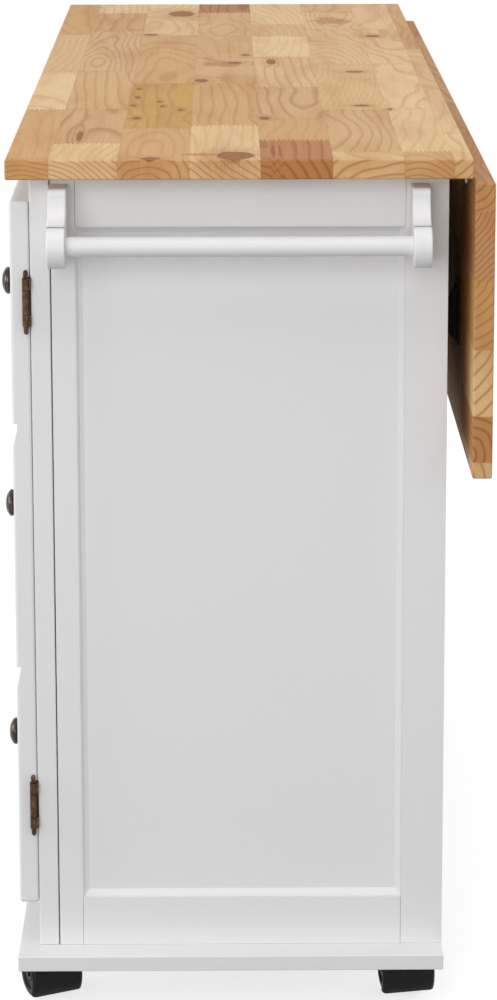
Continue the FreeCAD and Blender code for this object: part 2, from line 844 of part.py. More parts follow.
def leaf_hinge(name, x_start):
    """The fixed plate, the leaf's plate and the pin of one leaf hinge."""
    pitch = size.leaf_hinge_length / LEAF_KNUCKLES
    barrel = size.leaf_barrel_radius
    thick = size.leaf_plate_thickness
    width = size.leaf_plate_width
    x_end = x_start + size.leaf_hinge_length
    bore_radius = size.leaf_pin_radius + size.pin_gap
    metals = {"fixed": (0, 2, 4), "leaf": (1, 3)}
    plates = {
        "fixed": ((leaf_axis_y - barrel - width, leaf_axis_y - barrel - size.fit_gap),
                  (leaf_axis_z, leaf_axis_z + thick)),
        "leaf": ((leaf_axis_y, leaf_axis_y + thick),
                 (leaf_axis_z - barrel - width, leaf_axis_z - barrel - size.fit_gap)),
    }
    tongues = {
        "fixed": ((leaf_axis_y - barrel * 2, leaf_axis_y - barrel / 2), (leaf_axis_z, leaf_axis_z + thick)),
        "leaf": ((leaf_axis_y, leaf_axis_y + thick), (leaf_axis_z - barrel * 2, leaf_axis_z - barrel / 2)),
    }
    halves = {}
    for which, indexes in metals.items():
        pieces = [box(f"{name}_{which}_plate", (x_start, x_end), *plates[which])]
        pieces += leaf_knuckles(f"{name}_{which}", x_start, indexes)
        for index in indexes:
            low = x_start + pitch * index + size.fit_gap / 2
            high = x_start + pitch * (index + 1) - size.fit_gap / 2
            pieces.append(box(f"{name}_{which}_tongue", (low, high), *tongues[which]))
        bore = cylinder(f"{name}_{which}_bore", "x", bore_radius,
                        (x_start - OVERRUN, leaf_axis_y, leaf_axis_z), size.leaf_hinge_length + 2 * OVERRUN)
        halves[which] = cut(f"{name}_{which}_half", fuse(f"{name}_{which}_metal", *pieces), bore)
    pin = cylinder(f"{name}_pin", "x", size.leaf_pin_radius, (x_start, leaf_axis_y, leaf_axis_z),
                   size.leaf_hinge_length)
    return halves["fixed"], halves["leaf"], pin


def leaf_hinges():
    end = half_length - size.leaf_hinge_inset
    starts = {
        "right": end - size.leaf_hinge_length,
        "middle": -size.leaf_hinge_length / 2,
        "left": -end,
    }
    hinges = [leaf_hinge(f"{word}_leaf_hinge", x_start) for word, x_start in starts.items()]
    fixed, moving, pins = zip(*hinges)
    sub_part("leaf_hinge_top_plates", *fixed)
    sub_part("leaf_hinge_flaps", *moving)
    sub_part("leaf_hinge_pins", *pins)


# -------------------------------------------------------------- leaf stays
stay_half = size.stay_width / 2
stay_x = half_length - size.stay_end_inset
stay_pivot_y = cabinet_back + size.stay_back_gap + stay_half
# the raised stay's tip lies in its receiver, under the raised leaf
tip_seat = size.receiver_base + stay_half + size.fit_gap
stay_length = (size.stay_drop + size.leaf_gap - tip_seat) / sine(size.stay_raised_angle - 90)
tip_reach = stay_length * sine(size.stay_raised_angle) - (leaf_axis_y - stay_pivot_y)


def stay(word, side):
    middle = stay_x * side
    x_span = (middle - size.stay_thickness / 2, middle + size.stay_thickness / 2)
    y_span = (stay_pivot_y - stay_half, stay_pivot_y + stay_half)
    bar = box(f"{word}_stay_bar", x_span, y_span, (stay_pivot_z - stay_length, stay_pivot_z))
    ends = []
    for end, z in (("pivot", stay_pivot_z), ("tip", stay_pivot_z - stay_length)):
        foot = (x_span[0], stay_pivot_y, z)
        ends.append(cylinder(f"{word}_stay_{end}", "x", stay_half, foot, size.stay_thickness))
    bore = cylinder(f"{word}_stay_bore", "x", size.stay_pin_radius + size.pin_gap,
                    (x_span[0] - OVERRUN, stay_pivot_y, stay_pivot_z), size.stay_thickness + 2 * OVERRUN)
    sub_part(f"{word}_stay", cut(f"{word}_stay_arm", fuse(f"{word}_stay_blank", bar, *ends), bore))


def stay_bracket(word, side):
    """A plate on the cabinet's back with two ears that hold the stay's pin."""
    middle = stay_x * side
    gap = size.stay_thickness / 2 + size.fit_gap
    half_plate = size.stay_plate_width / 2
    plate_y = (cabinet_back, cabinet_back + size.stay_plate_thickness)
    plate_z = (stay_pivot_z - size.stay_plate_height / 2, stay_pivot_z + size.stay_plate_height / 2)
    pieces = [box(f"{word}_stay_plate", (middle - half_plate, middle + half_plate), plate_y, plate_z)]
    ear_z = (stay_pivot_z - stay_half, stay_pivot_z + stay_half)
    for hand, start in (("near", middle + gap), ("far", middle - gap - size.stay_ear_thickness)):
        span = (start, start + size.stay_ear_thickness)
        pieces.append(box(f"{word}_{hand}_ear", span, (cabinet_back, stay_pivot_y), ear_z))
        pieces.append(cylinder(f"{word}_{hand}_ear_end", "x", stay_half, (start, stay_pivot_y, stay_pivot_z),
                               size.stay_ear_thickness))
    pin_half = gap + size.stay_ear_thickness
    bore = cylinder(f"{word}_ear_bore", "x", size.stay_pin_radius + size.pin_gap,
                    (middle - pin_half - 1, stay_pivot_y, stay_pivot_z), pin_half * 2 + 2)
    bracket = cut(f"{word}_stay_bracket", fuse(f"{word}_stay_bracket_blank", *pieces), bore)
    pin = cylinder(f"{word}_stay_pin", "x", size.stay_pin_radius,
                   (middle - pin_half, stay_pivot_y, stay_pivot_z), pin_half * 2)
    return bracket, pin


def stay_receiver(word, side):
    """Two sloping cheeks on a plate under the leaf, where the stay's tip lands."""
    middle = stay_x * side
    centre_z = leaf_axis_z - tip_reach
    half_height = size.receiver_height / 2
    cheek_start = leaf_inner - size.receiver_base
    z_span = (centre_z - half_height, centre_z + half_height)
    half_width = size.receiver_width / 2
    plate = box(f"{word}_receiver_plate", (middle - half_width, middle + half_width),
                (cheek_start, leaf_inner), z_span)
    pieces = [plate]
    gap = size.stay_thickness / 2 + size.fit_gap * 2
    for hand, start in (("near", middle + gap), ("far", middle - gap - size.receiver_cheek)):
        cheek = doc.addObject("Part::Wedge", f"{word}_{hand}_cheek")
        # the wedge grows along its own Y, which points away from the leaf
        cheek.Placement.Rotation = FreeCAD.Rotation(X_AXIS, -Y_AXIS, -Z_AXIS, "ZXY")
        bind(cheek, "Xmin", 0)
        bind(cheek, "Xmax", size.receiver_cheek)
        bind(cheek, "X2min", 0)
        bind(cheek, "X2max", size.receiver_cheek)
        bind(cheek, "Ymin", 0)
        bind(cheek, "Ymax", size.receiver_proud)
        bind(cheek, "Zmin", 0)
        bind(cheek, "Zmax", size.receiver_height)
        bind(cheek, "Z2min", size.receiver_top_slope)
        bind(cheek, "Z2max", size.receiver_height - size.receiver_bottom_slope)
        place(cheek, start, leaf_inner, z_span[1])
        pieces.append(cheek)
    return fuse(f"{word}_receiver", *pieces)


def leaf_stays():
    brackets = []
    pins = []
    receivers = []
    for word, side in SIDES.items():
        stay(word, side)
        bracket, pin = stay_bracket(word, side)
        brackets.append(bracket)
        pins.append(pin)
        receivers.append(stay_receiver(word, side))
    sub_part("stay_brackets", *brackets)
    sub_part("stay_pins", *pins)
    sub_part("stay_receivers", *receivers)


# ----------------------------------------------------------------- casters
caster_x = half_length - size.base_end_inset - size.caster_end_inset
caster_y = {
    "front": size.caster_side_inset - half_depth,
    "rear": cabinet_back - size.caster_side_inset,
}


def caster_plate(name, x, y):
    """A plate under the base, with the boss that the caster turns in."""
    half = size.plate_size / 2
    plate_low = size.caster_height - size.plate_thickness
    plate = box(f"{name}_plate", (x - half, x + half), (y - half, y + half), (plate_low, size.caster_height))
    boss_low = plate_low - size.boss_height
    boss = cylinder(f"{name}_boss", "z", size.boss_radius, (x, y, boss_low), size.boss_height)
    bore = cylinder(f"{name}_bore", "z", size.stem_radius + size.pin_gap,
                    (x, y, boss_low - OVERRUN), size.boss_height + size.plate_thickness / 2 + OVERRUN)
    return cut(name, fuse(f"{name}_blank", plate, boss), bore)


def caster_hood(name):
    """The hood over both wheels, turning about the origin with its wheels behind."""
    axle = (-size.caster_trail, -size.hood_width / 2, size.wheel_radius)
    neck_top = size.caster_height - size.plate_thickness - size.boss_height - size.slide_gap
    drum = cylinder(f"{name}_drum", "y", size.hood_radius, axle, size.hood_width)
    neck = cylinder(f"{name}_neck", "z", size.hood_neck_radius, (0, 0, size.wheel_radius),
                    neck_top - size.wheel_radius)
    inner_radius = size.hood_radius - size.hood_wall
    half_web = size.wheel_web / 2
    pocket_width = size.hood_width / 2 - half_web + size.slide_gap
    pockets = []
    for hand, start in (("near", half_web), ("far", -half_web - pocket_width)):
        pockets.append(cylinder(f"{name}_{hand}_pocket", "y", inner_radius,
                                (-size.caster_trail, start, size.wheel_radius), pocket_width))
    wide = size.hood_width
    skirt = box(f"{name}_skirt", (-wide, wide), (-wide, wide), (-wide, size.hood_clear))
    trailing_edge = -size.caster_trail - size.axle_radius * 3
    opening = box(f"{name}_opening", (-wide, trailing_edge), (-wide, wide), (0, size.wheel_radius))
    axle_bore = cylinder(f"{name}_axle_bore", "y", size.axle_radius + size.pin_gap, axle, size.hood_width)
    shell = cut(f"{name}_shell", fuse(f"{name}_blank", drum, neck), *pockets, skirt, opening, axle_bore)
    stem = cylinder(f"{name}_stem", "z", size.stem_radius, (0, 0, neck_top - size.boss_height),
                    size.boss_height * 2 + size.slide_gap)
    return fuse(name, shell, stem)


def caster_wheels(name):
    """Two wheels and the axle that they turn with, about the caster's origin."""
    half_track = size.wheel_web / 2 + size.fit_gap + size.wheel_width + size.hood_wall / 2
    axle_end = (-size.caster_trail, -half_track, size.wheel_radius)
    axle = cylinder(f"{name}_axle", "y", size.axle_radius, axle_end, half_track * 2)
    wheels = [axle]
    start = size.wheel_web / 2 + size.fit_gap
    for hand, y in (("near", start), ("far", -start - size.wheel_width)):
        body = doc.addObject("PartDesign::Body", f"{name}_{hand}_body")
        disc = body.newObject("PartDesign::AdditiveCylinder", f"{name}_{hand}_disc")
        bind(disc, "Radius", size.wheel_radius)
        bind(disc, "Height", size.wheel_width)
        rounding = body.newObject("PartDesign::Fillet", f"{name}_{hand}_rounding")
        rounding.Base = (disc, ["Edge1"])
        rounding.UseAllEdges = True
        bind(rounding, "Radius", size.wheel_ease)
        body.Tip = rounding
        body.Placement.Rotation = ALONG["y"]
        place(body, -size.caster_trail, y, size.wheel_radius)
        bore = cylinder(f"{name}_{hand}_bore", "y", size.axle_radius + size.pin_gap,
                        (-size.caster_trail, y - OVERRUN, size.wheel_radius), size.wheel_width + 2 * OVERRUN)
        wheels.append(cut(f"{name}_{hand}_wheel", body, bore))
    return wheels


def casters():
    plates = []
    for (end, depth), heading in CASTER_HEADINGS.items():
        name = f"{depth}_{end}_caster"
        x = caster_x * SIDES[end]
        y = caster_y[depth]
        plates.append(caster_plate(f"{name}_mount", x, y))
        turn = heading - 180
        sub_part(f"{name}_hood", caster_hood(f"{name}_cover"), x=x, y=y, heading=turn)
        sub_part(f"{name}_wheels", *caster_wheels(name), x=x, y=y, heading=turn)
    sub_part("caster_plates", *plates)


# ---------------------------------------------------------------- assembly
worktop()
base_board()
face_frame()
for word, side in SIDES.items():
    end_frame(word, side)
cabinet_boards()
shelves()
for word, side in SIDES.items():
    door(word, side)
door_hinges()
door_catches()
runners = []
for level in front_levels:
    runners += drawer(level)
sub_part("drawer_runners", *runners)
towel_rack()
drop_leaf()
leaf_hinges()
leaf_stays()
casters()

doc.recompute()
for thing in doc.Objects:
    if "Invalid" in thing.State or "Error" in thing.State:
        raise RuntimeError(f"{thing.Label} did not rebuild: {thing.State}")
for part in sub_parts:
    if part.Shape.isNull() or not part.Shape.isValid() or not part.Shape.Solids:
        raise RuntimeError(f"{part.Label} has no sound shape")

os.makedirs("parts", exist_ok=True)
for part in sub_parts:
    part.Shape.exportStep(f"parts/{part.Label}.step")
print(len(sub_parts), "sub-parts")
print("stay length", round(stay_length.value, 3), "tip reach", round(tip_reach.value, 3))
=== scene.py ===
import json
import math

import bpy
import numpy as np
from bpy.props import FloatProperty, FloatVectorProperty, IntProperty, PointerProperty
from bpy.types import Operator, Panel, PropertyGroup
from mathutils import Matrix, Vector
from mathutils.geometry import tessellate_polygon

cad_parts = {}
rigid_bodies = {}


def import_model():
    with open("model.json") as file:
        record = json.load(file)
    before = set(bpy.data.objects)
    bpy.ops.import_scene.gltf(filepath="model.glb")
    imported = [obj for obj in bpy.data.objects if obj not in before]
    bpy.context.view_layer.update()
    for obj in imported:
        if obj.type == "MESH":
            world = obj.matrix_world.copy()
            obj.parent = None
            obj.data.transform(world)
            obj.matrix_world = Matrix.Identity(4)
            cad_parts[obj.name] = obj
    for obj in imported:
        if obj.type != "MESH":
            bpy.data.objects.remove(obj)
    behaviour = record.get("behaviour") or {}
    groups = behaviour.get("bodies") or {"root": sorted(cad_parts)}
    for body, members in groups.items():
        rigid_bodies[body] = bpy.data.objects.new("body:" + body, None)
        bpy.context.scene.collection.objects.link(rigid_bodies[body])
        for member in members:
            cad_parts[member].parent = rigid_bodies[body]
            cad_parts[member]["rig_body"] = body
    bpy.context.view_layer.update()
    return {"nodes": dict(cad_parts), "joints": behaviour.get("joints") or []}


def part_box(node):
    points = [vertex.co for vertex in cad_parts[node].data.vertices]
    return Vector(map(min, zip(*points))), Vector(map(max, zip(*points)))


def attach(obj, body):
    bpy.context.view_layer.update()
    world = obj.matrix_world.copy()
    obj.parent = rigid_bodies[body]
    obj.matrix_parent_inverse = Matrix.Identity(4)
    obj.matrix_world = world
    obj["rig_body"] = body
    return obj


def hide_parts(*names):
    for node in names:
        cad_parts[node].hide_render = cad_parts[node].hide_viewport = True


bl_info = {
    "name": "Drop leaf kitchen island",
    "version": (1, 0, 0),
    "blender": (4, 5, 0),
    "location": "3D View > Sidebar > Island",
    "description": "Dresses a rolling kitchen island: block worktop, painted cabinet, hardware and casters",
    "category": "Object",
}

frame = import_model()
NODES = frame["nodes"]

MM = 0.001
WELD = 1e-6
FAR = 9.0
X, Y, Z = np.eye(3)
ENDS = {"right": 1, "left": -1}
LEVELS = ("top", "middle", "bottom")
CASTERS = [f"{depth}_{end}" for depth in ("front", "rear") for end in ENDS]

# Block layout in millimetres. Joints are counted from the left end, lanes from the front edge of the worktop
# and from the top edge of the leaf. A knot or a red flame is (along, across, half its length, half its width).
# A red block is (lane, block, how red it is), and the amber block is (lane, block).
MOST_JOINTS = 6
WORKTOP = {
    "lanes": (43, 110.5, 181, 251, 322, 392, 441),
    "joints": ((346, 702, 1009, 1336), (109, 309, 703, 1004, 1240), (150, 358, 804, 1140),
               (103, 365, 580, 805, 1122), (241, 367, 573, 841, 1074, 1226), (106, 295, 639, 1015, 1298),
               (296, 641, 1006, 1299), (210, 500, 860, 1180)),
    "knots": ((1322, 226, 26, 20), (1338, 143, 9, 10), (1296, 264, 44, 1.6), (1290, 271, 36, 1.3),
              (118, 158, 35, 18), (349, 121, 9, 10), (709, 370, 9, 11), (984, 365, 8, 10), (617, 272, 24, 6),
              (782, 189, 15, 8), (554, 242, 9, 5), (369, 406, 11, 10), (1194, 67, 34, 3.2), (1074, 259, 12, 6),
              (849, 119, 8, 3), (916, 119, 9, 3.5), (979, 116, 9, 3.5), (1071, 122, 11, 5), (950, 144, 8, 3),
              (985, 148, 8, 3), (1012, 168, 9, 3.5), (1012, 395, 8, 3), (625, 228, 9, 9)),
    "flames": ((640, 214, 30, 24), (202, 358, 48, 28), (1314, 194, 9, 24)),
    "reds": ((4, 6, 0.86), (4, 4, 0.42), (5, 4, 0.40), (1, 4, 0.45), (1, 2, 0.36), (3, 0, 0.90), (3, 3, 0.30),
             (1, 1, 0.22)),
    "amber": (2, 3),
}
LEAF = {
    "lanes": (29, 99, 168, 236, 283),
    "joints": ((180, 420, 790, 1010, 1225), (95, 355, 640, 905, 1170), (260, 520, 700, 1085, 1280),
               (140, 450, 815, 1020, 1240), (330, 610, 930, 1190), (210, 560, 880, 1110, 1300)),
    "knots": ((560, 60, 16, 10), (1040, 140, 22, 12), (250, 205, 18, 11), (860, 262, 12, 7), (1150, 45, 9, 5)),
    "flames": ((540, 40, 60, 18), (1310, 8, 40, 9)),
    "reds": ((0, 0, 0.50), (0, 1, 0.35), (0, 2, 0.48), (0, 3, 0.34), (0, 4, 0.42), (0, 5, 0.52), (1, 3, 0.35),
             (2, 1, 0.45), (1, 5, 0.66), (4, 4, 0.74)),
    "amber": (3, 2),
}


# ------------------------------------------------------------------ sizes
def colour_setting(name, description, default):
    """A colour that a user may change."""
    return FloatVectorProperty(name=name, description=description, subtype="COLOR", size=4, default=default)


def length_setting(name, description, default):
    """A length that a user may change."""
    return FloatProperty(name=name, description=description, default=default, unit="LENGTH")


class WoodSettings(PropertyGroup):
    """The glued wooden blocks of the worktop and the leaf."""

    finger_pitch: length_setting("Finger pitch", "Width of one tooth of a finger joint", 4.8 * MM)
    finger_length: length_setting("Finger length", "Length of one tooth of a finger joint", 14 * MM)
    ring_spacing: length_setting("Ring spacing", "Usual distance between growth rings", 8.3 * MM)
    pale: colour_setting("Pale wood", "Colour of the palest blocks", (0.84, 0.60, 0.32, 1))
    tan: colour_setting("Tan wood", "Colour of the usual blocks", (0.63, 0.365, 0.150, 1))
    amber: colour_setting("Amber wood", "Colour of the yellow block", (0.62, 0.375, 0.105, 1))
    red: colour_setting("Red wood", "Colour of the reddest blocks", (0.44, 0.165, 0.048, 1))
    knot: colour_setting("Knot", "Colour of a knot's middle", (0.22, 0.078, 0.026, 1))
    knot_depth: length_setting("Knot depth", "How far a knot reaches below the face", 9 * MM)
    ease: length_setting("Edge rounding", "Radius of the worktop's edges", 2 * MM)


class PaintSettings(PropertyGroup):
    """The painted boards of the cabinet."""

    colour: colour_setting("Paint", "Colour of the satin paint", (0.79, 0.785, 0.79, 1))
    ease: length_setting("Edge rounding", "Radius of the cabinet boards' edges", 0.5 * MM)
    joint: length_setting("Joint", "Gap that shows between two boards", 0.24 * MM)
    base_ease: length_setting("Base rounding", "Radius of the base board's edges", 1.0 * MM)


class HardwareSettings(PropertyGroup):
    """Knobs, hinges, stays and casters."""

    bronze: colour_setting("Antique bronze", "Colour of the door hinges", (0.065, 0.036, 0.021, 1))
    nickel: colour_setting("Antique nickel", "Colour of the knobs", (0.050, 0.040, 0.036, 1))
    zinc: colour_setting("Zinc", "Colour of plated steel", (0.52, 0.53, 0.54, 1))
    black: colour_setting("Black", "Colour of black steel and plastic", (0.0045, 0.0042, 0.004, 1))
    around: IntProperty(
        name="Sides", description="Flats around a turned piece", default=64, min=12)


class StageSettings(PropertyGroup):
    """The camera and the lamps."""

    camera_x: length_setting("Camera distance", "From the island's middle", 3664.3 * MM)
    camera_y: length_setting("Camera side", "Towards the island's back", -15.24 * MM)
    camera_z: length_setting("Camera height", "Above the floor", 1408 * MM)
    pan: FloatProperty(
        name="Pan", description="Turn towards the island's back", default=math.radians(0.46), unit="ROTATION")
    tilt: FloatProperty(
        name="Tilt", description="Downward tilt", default=math.radians(10.99), unit="ROTATION")
    roll: FloatProperty(
        name="Roll", description="Turn about the view", default=math.radians(-0.095), unit="ROTATION")
    lens: FloatProperty(
        name="Lens", description="Focal length in millimetres", default=112.1)
    key: FloatProperty(name="Key lamp", description="Power of the main lamp", default=46)
    fill: FloatProperty(name="Fill lamp", description="Power of the filling lamp", default=12)
    overhead: FloatProperty(name="Overhead lamp", description="Power of the lamp above", default=50)
    sky: FloatProperty(name="Sky", description="Strength of the light from all around", default=0.58)


SETTINGS = {
    "island_wood": WoodSettings,
    "island_paint": PaintSettings,
    "island_hardware": HardwareSettings,
    "island_stage": StageSettings,
}


# ---------------------------------------------------------------- surfaces
def unit(vectors):
    """Each vector divided by its length."""
    length = np.linalg.norm(vectors, axis=-1, keepdims=True)
    return vectors / np.maximum(length, 1e-12)


def lay_grid(points, normals, wrap=False):
    """A patch: the points of a grid with their normals, and two triangles between each four neighbours."""
    rows, columns = points.shape[:2]
    index = np.arange(rows * columns).reshape(rows, columns)
    if wrap:
        index = np.hstack([index, index[:, :1]])
    a, b, c, d = index[:-1, :-1], index[:-1, 1:], index[1:, 1:], index[1:, :-1]
    triangles = np.concatenate([np.stack(corners, -1).reshape(-1, 3) for corners in ((a, b, c), (a, c, d))])
    return points.reshape(-1, 3), normals.reshape(-1, 3), triangles


def flat_patch(outline, normal):
    """A patch that fills a flat outline, which may bend inwards."""
    triangles = tessellate_polygon([[Vector(point) for point in outline]])
    return np.asarray(outline), np.tile(normal, (len(outline), 1)), np.array(triangles)


def rounded_box(low, high, ease, steps=4):
    """A box with rounded edges: a ball of the ease's radius, cut in eight, with one eighth at each corner.
    A point is its corner's centre plus the ease times the direction (turn, rise)."""
    low, high = np.asarray(low, float), np.asarray(high, float)
    quarter = np.linspace(0, np.pi / 2, steps + 1)
    turn = (quarter + np.pi / 2 * np.arange(4)[:, None]).ravel()
    corner = np.repeat(np.pi / 4 + np.pi / 2 * np.arange(4), steps + 1)
    rise = np.concatenate([quarter - np.pi / 2, quarter])
    side = np.repeat([-1.0, 1.0], steps + 1)
    normals = np.stack(np.broadcast_arrays(
        np.cos(rise)[:, None] * np.cos(turn), np.cos(rise)[:, None] * np.sin(turn), np.sin(rise)[:, None]), -1)
    signs = np.stack(np.broadcast_arrays(
        np.sign(np.cos(corner)), np.sign(np.sin(corner)), side[:, None]), -1)
    points = (low + high) / 2 + signs * ((high - low) / 2 - ease) + ease * normals
    patches = [lay_grid(points, normals, wrap=True)]
    for row, normal in ((0, -Z), (-1, Z)):
        patches.append(flat_patch(points[row, ::steps + 1], normal))
    return patches


def turned(profile, centre, axis, across, around):
    """A surface of revolution: each stretch of the profile is a run of (radius, height) points, and a point is
    centre + height * axis + radius * (cos * across + sin * third), over a whole turn."""
    axis, across = unit(np.asarray(axis, float)), unit(np.asarray(across, float))
    third = np.cross(axis, across)
    angles = np.linspace(0, 2 * np.pi, around, endpoint=False)
    spoke = np.cos(angles)[:, None] * across + np.sin(angles)[:, None] * third
    patches = []
    for stretch in profile:
        radius, height = np.asarray(stretch, float).T
        slope_r, slope_h = np.gradient(radius), np.gradient(height)
        points = centre + height[:, None, None] * axis + radius[:, None, None] * spoke
        normals = unit(slope_h[:, None, None] * spoke - slope_r[:, None, None] * axis)
        patches.append(lay_grid(points, normals, wrap=True))
    return patches


def straights(*corners):
    """One stretch of a profile for each straight run between two corners."""
    return [np.array(pair) for pair in zip(corners[:-1], corners[1:])]


def round_corners(corners, radii, steps=6):
    """An outline whose corners are arcs: at each corner the arc's centre lies on the bisector, radius over the
    sine of half the angle away, and the normal turns from one edge's to the next one's."""
    corners = np.asarray(corners, float)
    radii = np.asarray(radii, float)[:, None]
    back = unit(np.roll(corners, 1, axis=0) - corners)
    ahead = unit(np.roll(corners, -1, axis=0) - corners)
    turning = back[:, 1] * ahead[:, 0] - back[:, 0] * ahead[:, 1]
    bend = np.sign(turning)[:, None]
    half = np.arccos(np.clip((back * ahead).sum(1, keepdims=True), -1, 1)) / 2
    centres = corners + unit(back + ahead) * radii / np.sin(half)
    first = np.stack([-back[:, 1], back[:, 0]], 1)
    last = np.stack([ahead[:, 1], -ahead[:, 0]], 1)
    start = np.arctan2(first[:, 1], first[:, 0])
    sweep = np.angle(np.exp(1j * (np.arctan2(last[:, 1], last[:, 0]) - start)))
    angles = start[:, None] + sweep[:, None] * np.linspace(0, 1, steps + 1)
    normals = np.stack([np.cos(angles), np.sin(angles)], -1)
    points = centres[:, None] + (bend * radii)[:, None] * normals
    return points.reshape(-1, 2), normals.reshape(-1, 2)


def eased_plate(outline, normals, centre, across, up, thickness, ease, steps=4):
    """A flat piece with rounded rims: the outline is swept over its thickness, and near each face it draws in
    by the ease times one minus the cosine of the rim's angle."""
    axis = np.cross(across, up)
    angles = np.linspace(-np.pi / 2, 0, steps + 1)
    angles = np.concatenate([angles, -angles[::-1]])
    side = np.repeat([-1.0, 1.0], steps + 1)
    flat = outline - normals * (ease * (1 - np.cos(angles)))[:, None, None]
    depth = side * (thickness / 2 - ease) + ease * np.sin(angles)
    points = centre + flat[..., :1] * across + flat[..., 1:] * up + depth[:, None, None] * axis
    outward = normals[:, :1] * across + normals[:, 1:] * up
    tilt = np.cos(angles)[:, None, None] * outward + np.sin(angles)[:, None, None] * axis
    patches = [lay_grid(points, tilt, wrap=True)]
    for row, normal in ((0, -axis), (-1, axis)):
        patches.append(flat_patch(points[row], normal))
    return patches


def make_piece(name, patches, finish):
    """Joins patches into one mesh. Points that coincide are welded, triangles face along their normals, and
    each corner keeps its patch's own normal."""
    points = np.concatenate([patch[0] for patch in patches])
    normals = np.concatenate([patch[1] for patch in patches])
    starts = np.cumsum([0] + [len(patch[0]) for patch in patches[:-1]])
    triangles = np.concatenate([patch[2] + start for patch, start in zip(patches, starts)])
    sides = points[triangles]
    facing = np.cross(sides[:, 1] - sides[:, 0], sides[:, 2] - sides[:, 0])
    backwards = (facing * normals[triangles].sum(1)).sum(1) < 0
    triangles[backwards] = triangles[backwards][:, ::-1]
    places = np.round(points / WELD).astype(np.int64)
    _, kept, same = np.unique(places, axis=0, return_index=True, return_inverse=True)
    welded = same.ravel()[triangles]
    whole = (welded != np.roll(welded, 1, axis=1)).all(1)
    mesh = bpy.data.meshes.new(name)
    mesh.from_pydata(points[kept].tolist(), [], welded[whole].tolist())
    mesh.polygons.foreach_set("use_smooth", np.ones(len(mesh.polygons), bool))
    mesh.normals_split_custom_set(normals[triangles[whole]].reshape(-1, 3).tolist())
    mesh.materials.append(finish)
    piece = bpy.data.objects.new(name, mesh)
    bpy.context.scene.collection.objects.link(piece)
    return piece


def stand_in(name, patches, finish, *nodes):
    """A new piece that rides with the nodes it takes the place of."""
    piece = make_piece(name, patches, finish)
    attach(piece, NODES[nodes[0]]["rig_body"])
    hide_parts(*nodes)
    return piece


def dress(finish, *nodes):
    """Gives the nodes' own solids a finish."""
    for node in nodes:
        mesh = NODES[node].data
        mesh.materials.clear()
        mesh.materials.append(finish)


def solid_boxes(node):
    """The lowest and highest corner of each separate solid of a node. Points that share a triangle take the
    lowest number among them, again and again, until each solid has one number."""
    mesh = NODES[node].data
    points = np.empty(len(mesh.vertices) * 3)
    mesh.vertices.foreach_get("co", points)
    points = points.reshape(-1, 3)
    mesh.calc_loop_triangles()
    triangles = np.empty(len(mesh.loop_triangles) * 3, int)
    mesh.loop_triangles.foreach_get("vertices", triangles)
    places = np.round(points / (MM / 100)).astype(np.int64)
    _, same = np.unique(places, axis=0, return_inverse=True)
    triangles = same.ravel()[triangles].reshape(-1, 3)
    label = np.arange(same.max() + 1)
    while True:
        lowest = np.repeat(label[triangles].min(1), 3)
        spread = label.copy()
        np.minimum.at(spread, triangles.ravel(), lowest)
        if (spread == label).all():
            break
        label = spread
    owner = label[same.ravel()]
    return [(points[owner == solid].min(0), points[owner == solid].max(0)) for solid in np.unique(owner)]


def node_box(node):
    low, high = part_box(node)
    return np.array(low), np.array(high)


